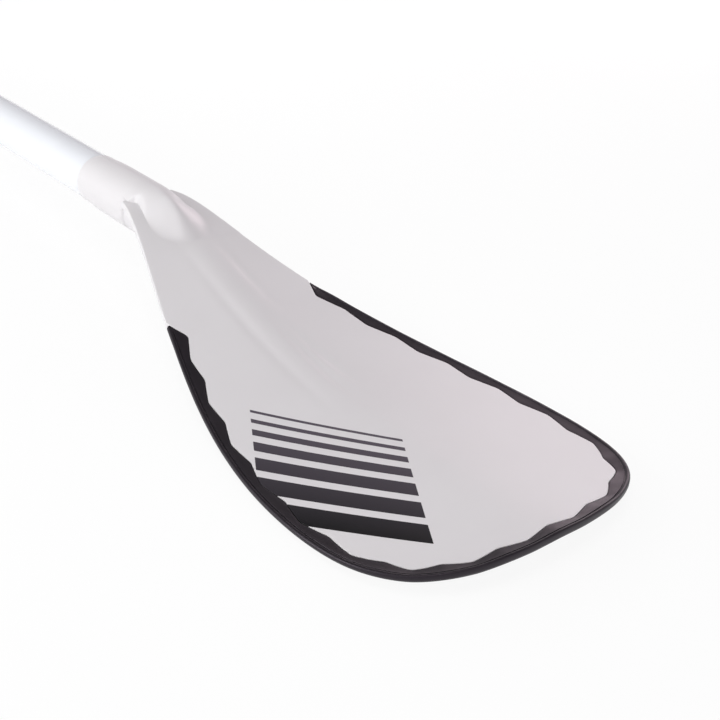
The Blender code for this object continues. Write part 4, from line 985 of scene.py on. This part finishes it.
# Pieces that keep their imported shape, inside the blade, the shafts and the grip
kept = {
    "blade_core": makeMaterial("cutClosedCellFoam", cutFoam),
    "guide_plug": mouldedPiece("slidingNylon"),
    "guide_seal_ring": mouldedPiece("mouldedNitrile"),
    "grip_core": mouldedPiece("glassFilledNylon"),
}
kept["shaft_bottom_plug"] = kept["blade_core"]
for node, material in kept.items():
    solid = frame["nodes"][node]
    solid.data.materials.clear()
    solid.data.materials.append(material)
nylon, greyNylon = kept["grip_core"], kept["guide_plug"]
stainless = makeMaterial("turnedStainless", turnedStainless)
rubber = mouldedPiece("overmouldedRubber")


# Length clamp. In its frame X points left, Y out of the power face and Z to the grip,
# with Z = 0 on the lower shaft's end.
clamp = {
    "at": -900.0,
    "bore": 15.35,
    "socket": 16.15,
    "radius": 19.75,
    "wideRadius": 20.55,
    "below": -24.0,
    "above": 22.0,
    "split": 1.5,
    "splitFrom": -6.0,
    "ears": (7.5, 17.55, 33.0, 3.0, 21.0),  # half width, from and to upwards, from and to along
    "earRound": 3.5,
    "boltAt": (26.0, 12.0),  # upwards and along
    "ribs": 24,
    "ribHeight": 0.45,
    "ribSteps": 8,
    "ease": 0.5,
}
liner = {"bore": 14.15, "radius": 15.2, "flange": 17.4, "from": 0.6, "to": 22.3, "top": 23.8,
         "split": 1.0, "key": 1.9, "keyFloor": -13.5}
bolt = {"from": -18.9, "to": 19.56, "radius": 2.5, "pitch": 0.8, "perTurn": 8, "around": 40,
        "thread": 0.22, "shank": (-4.0, 11.5), "socket": 1.25}
washer = {"radius": 6.5, "bore": 2.65, "thick": 1.5, "at": (7.8, -9.3)}
nut = {"at": -13.1, "length": 7.0, "radius": 6.5, "bore": 2.6, "flutes": 16, "fluteDepth": 0.7}
pin = {"out": 16.56, "radius": 4.0, "half": 7.7, "bore": 2.6, "slot": 0.5}
lever = {
    "camRadius": 6.4,
    "camOffset": 0.6,
    "camAngle": 200.0,
    "wrap": 24.6,
    "tipAngle": -38.0,
    "tipFlare": 2.4,
    "halfThick": 2.1,
    "half": 8.0,
    "steps": 70,
    "fork": (9.5, 3.0),  # radius and half width of its gap
    "pinBore": 4.1,
    "ribs": (0.80, 0.85, 0.90, 0.95),
    "ribRadius": 0.7,
    "ease": 0.8,
}
clampPlace = onShaft(clamp["at"])
boltPlace = onShaft(clamp["at"], 0, *clamp["boltAt"]) @ leftward
pinPlace = onShaft(clamp["at"], pin["out"], *clamp["boltAt"])


def roundedOutline(low, high, corner, steps=6):
    outline = []
    centres = [(high[0], high[1], 0), (low[0], high[1], 90), (low[0], low[1], 180), (high[0], low[1], 270)]
    for x, y, start in centres:
        inX = x - corner if x == high[0] else x + corner
        inY = y - corner if y == high[1] else y + corner
        for i in range(steps + 1):
            angle = radians(start + 90 * i / steps)
            outline.append((inX + corner * cos(angle), inY + corner * sin(angle)))
    return outline


def makeCollar():
    low, high, thin, rib = (clamp[key] for key in ("below", "above", "radius", "ribHeight"))
    bore, socket, base = clamp["bore"], clamp["socket"], clamp["wideRadius"] - rib
    profile = [
        (socket, low, 0), (base - 1.4, low, 0), (base - 0.5, low + 0.4, 0), (base, low + 1.2, 0),
        (base, low + 2.4, 0), (base, low + 3.4, rib), (base, -6.4, rib), (base, -5.4, 0),
        (base, -2.6, 0), (thin, -0.6, 0), (thin, high - 1.2, 0), (thin - 0.4, high - 0.4, 0),
        (thin - 1.2, high, 0), (bore + 0.4, high, 0), (bore, high - 0.4, 0), (bore, 0.3, 0),
        (socket, 0.3, 0), (socket, low, 0),
    ]
    ribs, split = clamp["ribs"], clamp["split"]
    collar = turned("clampCollar", profile, clampPlace, ribs * clamp["ribSteps"], ribs=ribs)
    far, inner, outer, start, end = clamp["ears"]
    outline = roundedOutline((start, inner), (end, outer), clamp["earRound"])
    ears = slab("ears", outline, -far, far, clampPlace @ Matrix.Rotation(-pi / 2, 4, "Y"))
    combine(collar, "UNION", easeEdges(ears, clamp["ease"], 3, 60))
    gape = box("gape", (-split, 5, clamp["splitFrom"]), (split, 40, 40), clampPlace)
    hole = rod("boltHole", bolt["radius"] + 0.15, -30, 30, boltPlace)
    return easeEdges(combine(collar, "DIFFERENCE", gape, hole), 0.25, 2, 50)


def makeLiner():
    names = ("bore", "radius", "flange", "from", "to", "top", "key", "split")
    bore, radius, flange, low, high, top, key, split = (liner[name] for name in names)
    profile = [
        (bore + 0.3, low), (radius - 0.3, low), (radius, low + 0.3), (radius, high), (flange - 0.3, high),
        (flange, high + 0.3), (flange, top - 0.6), (flange - 0.2, top - 0.2), (flange - 0.6, top),
        (bore + 0.8, top), (bore + 0.2, top - 0.3), (bore, top - 0.9), (bore, low + 0.3),
    ]
    piece = turned("clampLiner", profile, clampPlace, ring=True)
    keyPiece = box("key", (-key, -radius + 0.5, low), (key, liner["keyFloor"], high), clampPlace)
    combine(piece, "UNION", easeEdges(keyPiece, 0.3))
    return combine(piece, "DIFFERENCE", box("gape", (-split, 5, -5), (split, 30, 40), clampPlace))


def makeBolt():
    # a cut thread at both ends and a plain shank between
    low, high, pitch, around = bolt["from"], bolt["to"], bolt["pitch"], bolt["around"]
    rows = int((high - low) / pitch * bolt["perTurn"])
    shankFrom, shankTo = bolt["shank"]
    rings = []
    for z in (low + (high - low) * j / rows for j in range(rows + 1)):
        ending = max(0.5 - min(z - low, high - z), 0.0) * 0.9
        ring = []
        for turn in (i / around for i in range(around)):
            wave = abs(2 * ((z / pitch - turn) % 1) - 1)
            cutIn = 0.08 if shankFrom <= z <= shankTo else bolt["thread"] * 2 * wave
            radius = bolt["radius"] - cutIn - ending
            ring.append((radius * cos(2 * pi * turn), radius * sin(2 * pi * turn), z))
        rings.append(ring)
    socket = rod("socket", bolt["socket"], low - 1, low + 2.2, boltPlace, 6)
    return combine(tube("clampBolt", rings, boltPlace, 30), "DIFFERENCE", socket)


def makeWasher(name, at):
    outer, bore, thick = washer["radius"], washer["bore"], washer["thick"]
    profile = [(bore, 0.15), (bore + 0.15, 0), (outer - 0.3, 0), (outer - 0.08, 0.1), (outer, 0.35),
               (outer, thick - 0.35), (outer - 0.08, thick - 0.1), (outer - 0.3, thick),
               (bore + 0.15, thick), (bore, thick - 0.15)]
    return turned(name, [(r, at + z) for r, z in profile], boltPlace, 72, ring=True)


def makeNut():
    deep, bore, ribs = nut["fluteDepth"], nut["bore"], nut["flutes"]
    low, high = nut["at"] - nut["length"] / 2, nut["at"] + nut["length"] / 2
    base = nut["radius"] - deep
    profile = [
        (bore, low + 0.3, 0), (bore + 0.3, low, 0), (bore + 1.0, low, 0), (bore + 1.5, low + 0.5, 0),
        (base - 1.1, low + 0.5, 0), (base - 0.7, low, 0), (base - 0.3, low, 0), (base, low + 0.4, 0.3 * deep),
        (base, low + 0.9, deep), (base, high - 1.1, deep), (base, high - 0.6, 0.5 * deep),
        (base - 0.4, high, 0), (bore + 0.3, high, 0), (bore, high - 0.3, 0), (bore, low + 0.3, 0),
    ]
    return turned("tensionNut", profile, boltPlace, ribs * clamp["ribSteps"], ribs=ribs)


def makePin():
    radius, half, slot = pin["radius"], pin["half"], pin["slot"]
    ending = [(radius - 0.5, half), (radius - 0.1, half - 0.2), (radius, half - 0.5)]
    profile = [(0, -half)] + [(r, -z) for r, z in ending] + ending[::-1] + [(0, half)]
    hole = rod("threadHole", pin["bore"], -9, 9, pinPlace @ leftward)
    slots = [box("slot", (-slot, -6, low), (slot, 6, high), pinPlace)
             for low, high in ((-half - 1, 0.7 - half), (half - 0.7, half + 1))]
    return combine(turned("leverPivotPin", profile, pinPlace, 72), "DIFFERENCE", hole, *slots)


def leverPath():
    # centre line, direction and half thickness, from the cam to the tip
    look, steps = lever, lever["steps"]
    start = Vector((cos(radians(look["camAngle"])), sin(radians(look["camAngle"])))) * look["camOffset"]
    centre = Vector((-pin["out"], -clamp["boltAt"][0]))
    first = start - centre
    fromAngle = atan2(first.y, first.x)
    path = []
    for part in (i / steps for i in range(steps + 1)):
        angle = fromAngle + (radians(look["tipAngle"]) - fromAngle) * part
        radius = first.length + (look["wrap"] - first.length) * softStep(part, 0.0, 0.4)
        radius += look["tipFlare"] * softStep(part, 0.75, 1.0)
        half = look["camRadius"] + (look["halfThick"] - look["camRadius"]) * softStep(part, 0.0, 0.35)
        path.append((centre + Vector((radius * cos(angle), radius * sin(angle))), half))
    ways = [(b[0] - a[0]).normalized() for a, b in zip(path, path[1:])]
    ways.append(ways[-1])
    return [(point, way, half) for (point, half), way in zip(path, ways)]


def makeLever():
    path = leverPath()

    def beside(at, side=1):
        point, way, half = path[at]
        return point + Vector((-way.y, way.x)) * half * side

    def roundedEnd(at, side, steps):
        point, way, half = path[at]
        front = atan2(side * way.y, side * way.x)
        angles = [front + pi / 2 - pi * i / steps for i in range(1, steps)]
        return [point + Vector((cos(a), sin(a))) * half for a in angles]

    left, right = ([beside(i, side) for i in range(len(path))] for side in (1, -1))
    outline = left + roundedEnd(-1, 1, 12) + right[::-1] + roundedEnd(0, -1, 40)
    half, rounded = lever["half"], lever["ribRadius"]
    piece = slab("clampLever", [tuple(point) for point in outline], -half, half, pinPlace)
    easeEdges(piece, lever["ease"], 3, 60)
    reach = half - 1.6
    ending = [(0, reach), (0.7 * rounded, reach - 0.1), (rounded, reach - 0.5)]
    profile = [(r, -z) for r, z in ending] + ending[::-1]
    for part in lever["ribs"]:
        at = beside(int(part * lever["steps"]))
        place = pinPlace @ Matrix.Translation(Vector((at.x, at.y, 0)) * mm)
        combine(piece, "UNION", turned("rib", profile, place, 20))
    deep, gape = lever["fork"]
    fork = rod("fork", deep, -gape, gape, pinPlace, 64)
    bore = rod("pinBore", lever["pinBore"], -12, 12, pinPlace)
    return easeEdges(combine(piece, "DIFFERENCE", fork, bore), 0.2, 2, 60)


dress(makeCollar(), nylon, "lower_section", "black_nylon", "clamp_collar")
dress(makeLiner(), greyNylon, "lower_section", "grey_nylon", "clamp_liner")
dress(makeBolt(), stainless, "lower_section", "stainless", "clamp_bolt")
for name, node, at in zip(("camWasher", "nutWasher"), ("cam_washer", "nut_washer"), washer["at"]):
    dress(makeWasher(name, at), stainless, "lower_section", "stainless", node)
dress(makePin(), stainless, "lower_section", "stainless", "lever_pivot_pin")
dress(makeNut(), nylon, "nut", "black_nylon", "tension_nut")
dress(makeLever(), nylon, "lever", "black_nylon", "clamp_lever")
print("clamp done")


# T-grip. Z = 0 on the upper shaft's end.
grip = {
    "at": -1385.0,
    "neck": 37.9,
    "half": 52.0,
    "thick": 28.9,
    "endThick": 20.6,
    "droop": 5.0,
    "roundEnd": 0.22,
    "neckProfile": [(0, 38), (12.2, 38), (13.8, 30), (14.8, 23.6), (14.9, 16), (14.9, 8), (14.9, 1.2),
                    (14.5, 0.5), (14.1, 0.3), (0, 0.3)],
    "stations": 90,
    "around": 64,
    "voxel": 0.6,
    "soften": 0.6,
    "smooth": 14,
    "coreBar": (7.8, 38.3),  # radius and half length of the hollow for the core
    "coreNeck": 9.8,
    "rings": (5.5, 9.0, 12.5),
    "screw": (3.0, 1.5, 9.0),  # radii of its head and shank, length
}


def makeGripCover():
    look = grip
    here = onShaft(look["at"])
    stations, around = look["stations"], look["around"]
    rings = []
    for side in (-cos(pi * i / stations) for i in range(stations + 1)):
        reach = abs(side)
        thick = look["thick"] + (look["endThick"] - look["thick"]) * reach**2
        past = max((reach - 1 + look["roundEnd"]) / look["roundEnd"], 0.0)
        radius = thick / 2 * sqrt(max(1 - past * past, 0.0004))
        centre = look["neck"] - look["droop"] * side * side
        angles = [2 * pi * j / around for j in range(around)]
        rings.append([(side * look["half"], radius * cos(a), centre + radius * sin(a)) for a in angles])
    cover = combine(tube("gripCover", rings, here), "UNION", turned("neck", look["neckProfile"], here))
    modify(cover, "REMESH", mode="VOXEL", voxel_size=look["voxel"] * mm)
    modify(cover, "SMOOTH", factor=look["soften"], iterations=look["smooth"])
    for z in look["rings"]:
        ring = [(14.4, z - 0.5), (14.35, z), (14.4, z + 0.5), (17, z + 1.2), (17, z - 1.2)]
        combine(cover, "DIFFERENCE", turned("ring", ring, here, ring=True))
    bar, reach = look["coreBar"]
    across = onShaft(look["at"], 0, 0, look["neck"]) @ leftward
    combine(cover, "DIFFERENCE", rod("barHollow", bar, -reach, reach, across),
            rod("neckHollow", look["coreNeck"], -3, look["neck"], here))
    smoothPiece(cover, 40)
    return cover


def makeScrew():
    # countersunk, with a cross recess
    head, shank, length = grip["screw"]
    deep = head - shank
    profile = [(0, 0), (head - 0.15, 0), (head, -0.12), (shank, -deep)]
    profile += [(shank - 0.25 * (i % 2), -deep - 0.35 * i) for i in range(1, 17)]
    profile += [(shank - 0.5, -length + 0.6), (0, -length)]
    recesses = [box("recess", (-x, -y, -1.1), (x, y, 1), screwPlace()) for x, y in ((1.5, 0.35), (0.35, 1.5))]
    return combine(turned("gripScrew", profile, screwPlace(), 48), "DIFFERENCE", *recesses)


dress(makeGripCover(), rubber, "upper_section", "rubber", "grip_cover")
dress(makeScrew(), stainless, "upper_section", "stainless", "grip_screw")
print("grip done")


# Floor, light and camera

studio = {
    "floor": "#f2f2f3",
    "floorWhite": 0.91,
    "floorReach": 8.0,
    "floorDrop": 0.0005,
    # the studio's walls are white up to this height and fade to a dim ceiling: each pair
    # is the sine of the angle above the horizon and the brightness there
    "walls": [(0.0, 1.0), (0.38, 1.0), (0.5, 0.65), (0.68, 0.2), (1.0, 0.14)],
    "lamps": [
        # name, place and target in the shaft's frame (metres), size, power, tint, shows in gloss
        ("leftBox", (-0.35, -1.05, 0.34), (-0.1, 0.0, 0.0), 0.8, 7.5, "#fbfffc", True),
        ("topBox", (0.33, -0.25, 1.4), (0.0, 0.0, -0.03), 0.9, 7.5, "#fffcfd", True),
        ("nearBox", (0.25, -0.5, 0.35), (0.15, 0.0, 0.0), 0.35, 0.28, "#f6fffb", True),
        ("farBox", (-0.45, 0.9, 0.24), (-0.08, 0.0, 0.0), 0.6, 2.2, "#ffeaf2", True),
        ("neckFill", (-0.75, 0.35, 0.4), (-0.2, 0.0, 0.01), 0.35, 1.7, "#ffffff", False),
    ],
    # a dark flag stands where the flat blade would mirror the far wall to the camera
    "flagWay": (-0.78, 0.55, 0.34),
    "flagEdges": (0.80, 0.97),
    "flagDark": 0.3,
}
camera = {
    "place": (0.57774, -0.38235, 0.31432),
    "right": (0.6222, 0.78239, 0.02706),
    "down": (0.38869, -0.27874, -0.87819),
    "lens": 65.0,
    "sensor": 36.0,
    "clipStart": 0.01,
}


def layFloor():
    mesh = bpy.data.meshes.new("studioFloor")
    reach = studio["floorReach"]
    corners = [(-reach, -reach, 0), (reach, -reach, 0), (reach, reach, 0), (-reach, reach, 0)]
    mesh.from_pydata(corners, [], [(0, 1, 2, 3)])
    floor = addObject("studioFloor", mesh)
    floor.location.z = cadBox[0][2] - studio["floorDrop"]
    material = bpy.data.materials.new("paleSeamlessPaper")
    tree = emptyTree(material)
    # white for what the camera sees, itself or in a mirror or through glass
    path = addNode(tree, "LightPath", {})
    seen = path["Is Camera Ray"]
    for way in ("Is Glossy Ray", "Is Transmission Ray"):
        seen = addNode(tree, "Math", {0: seen, 1: path[way]}, operation="MAXIMUM")[0]
    share = addNode(tree, "Math", {0: seen, 1: studio["floorWhite"]}, operation="MULTIPLY")[0]
    paper = addNode(tree, "BsdfDiffuse", {"Color": linearColour(studio["floor"])})[0]
    white = addNode(tree, "Emission", {"Color": whites, "Strength": 1.0})[0]
    both = addNode(tree, "MixShader", {0: share, 1: paper, 2: white})[0]
    addNode(tree, "OutputMaterial", {"Surface": both})
    mesh.materials.append(material)


def lightWorld():
    world = bpy.data.worlds.new("studioWorld")
    bpy.context.scene.world = world
    tree = emptyTree(world)
    way = addNode(tree, "TexCoord", {})["Generated"]
    height = addNode(tree, "SeparateXYZ", {0: way})[2]
    stops = [(at, (level, level, level, 1.0)) for at, level in studio["walls"]]
    walls = addNode(tree, "ValToRGB", {0: height}, stops=stops)[0]
    flagged = addNode(tree, "VectorMath", {
        0: way, 1: Vector(studio["flagWay"]).normalized(),
    }, operation="DOT_PRODUCT")["Value"]
    start, end = studio["flagEdges"]
    lit = addNode(tree, "MapRange", {
        "Value": flagged, "From Min": start, "From Max": end, "To Min": 1.0, "To Max": studio["flagDark"],
    }, interpolation_type="SMOOTHSTEP")[0]
    # the camera itself sees no flag, only the gloss does
    seen = addNode(tree, "LightPath", {})["Is Camera Ray"]
    strength = addNode(tree, "Math", {0: lit, 1: seen}, operation="MAXIMUM")[0]
    soft = addNode(tree, "Background", {"Color": walls, "Strength": strength})[0]
    addNode(tree, "OutputWorld", {"Surface": soft})


def hangLamps():
    for name, at, target, size, power, tint, inGloss in studio["lamps"]:
        light = bpy.data.lights.new(name, "AREA")
        light.shape = "DISK"
        light.size = size
        light.energy = power
        light.color = linearColour(tint)[:3]
        lamp = addObject(name, light)
        lamp.visible_glossy = inGloss
        start, end = shaftFrame @ Vector(at), shaftFrame @ Vector(target)
        lamp.location = start
        lamp.rotation_euler = (end - start).to_track_quat("-Z", "Y").to_euler()


def setCamera():
    lens = bpy.data.cameras.new("photoCamera")
    lens.lens = camera["lens"]
    lens.sensor_width = camera["sensor"]
    lens.clip_start = camera["clipStart"]
    eye = addObject("photoCamera", lens)
    right, down = Vector(camera["right"]).normalized(), Vector(camera["down"]).normalized()
    back = right.cross(-down).normalized()
    turn = Matrix((right, back.cross(right), back)).transposed().to_4x4()
    eye.matrix_world = shaftFrame @ Matrix.Translation(camera["place"]) @ turn
    bpy.context.scene.camera = eye


layFloor()
lightWorld()
hangLamps()
setCamera()
bpy.context.scene.view_settings.view_transform = "Standard"
print("floor, light and camera done")
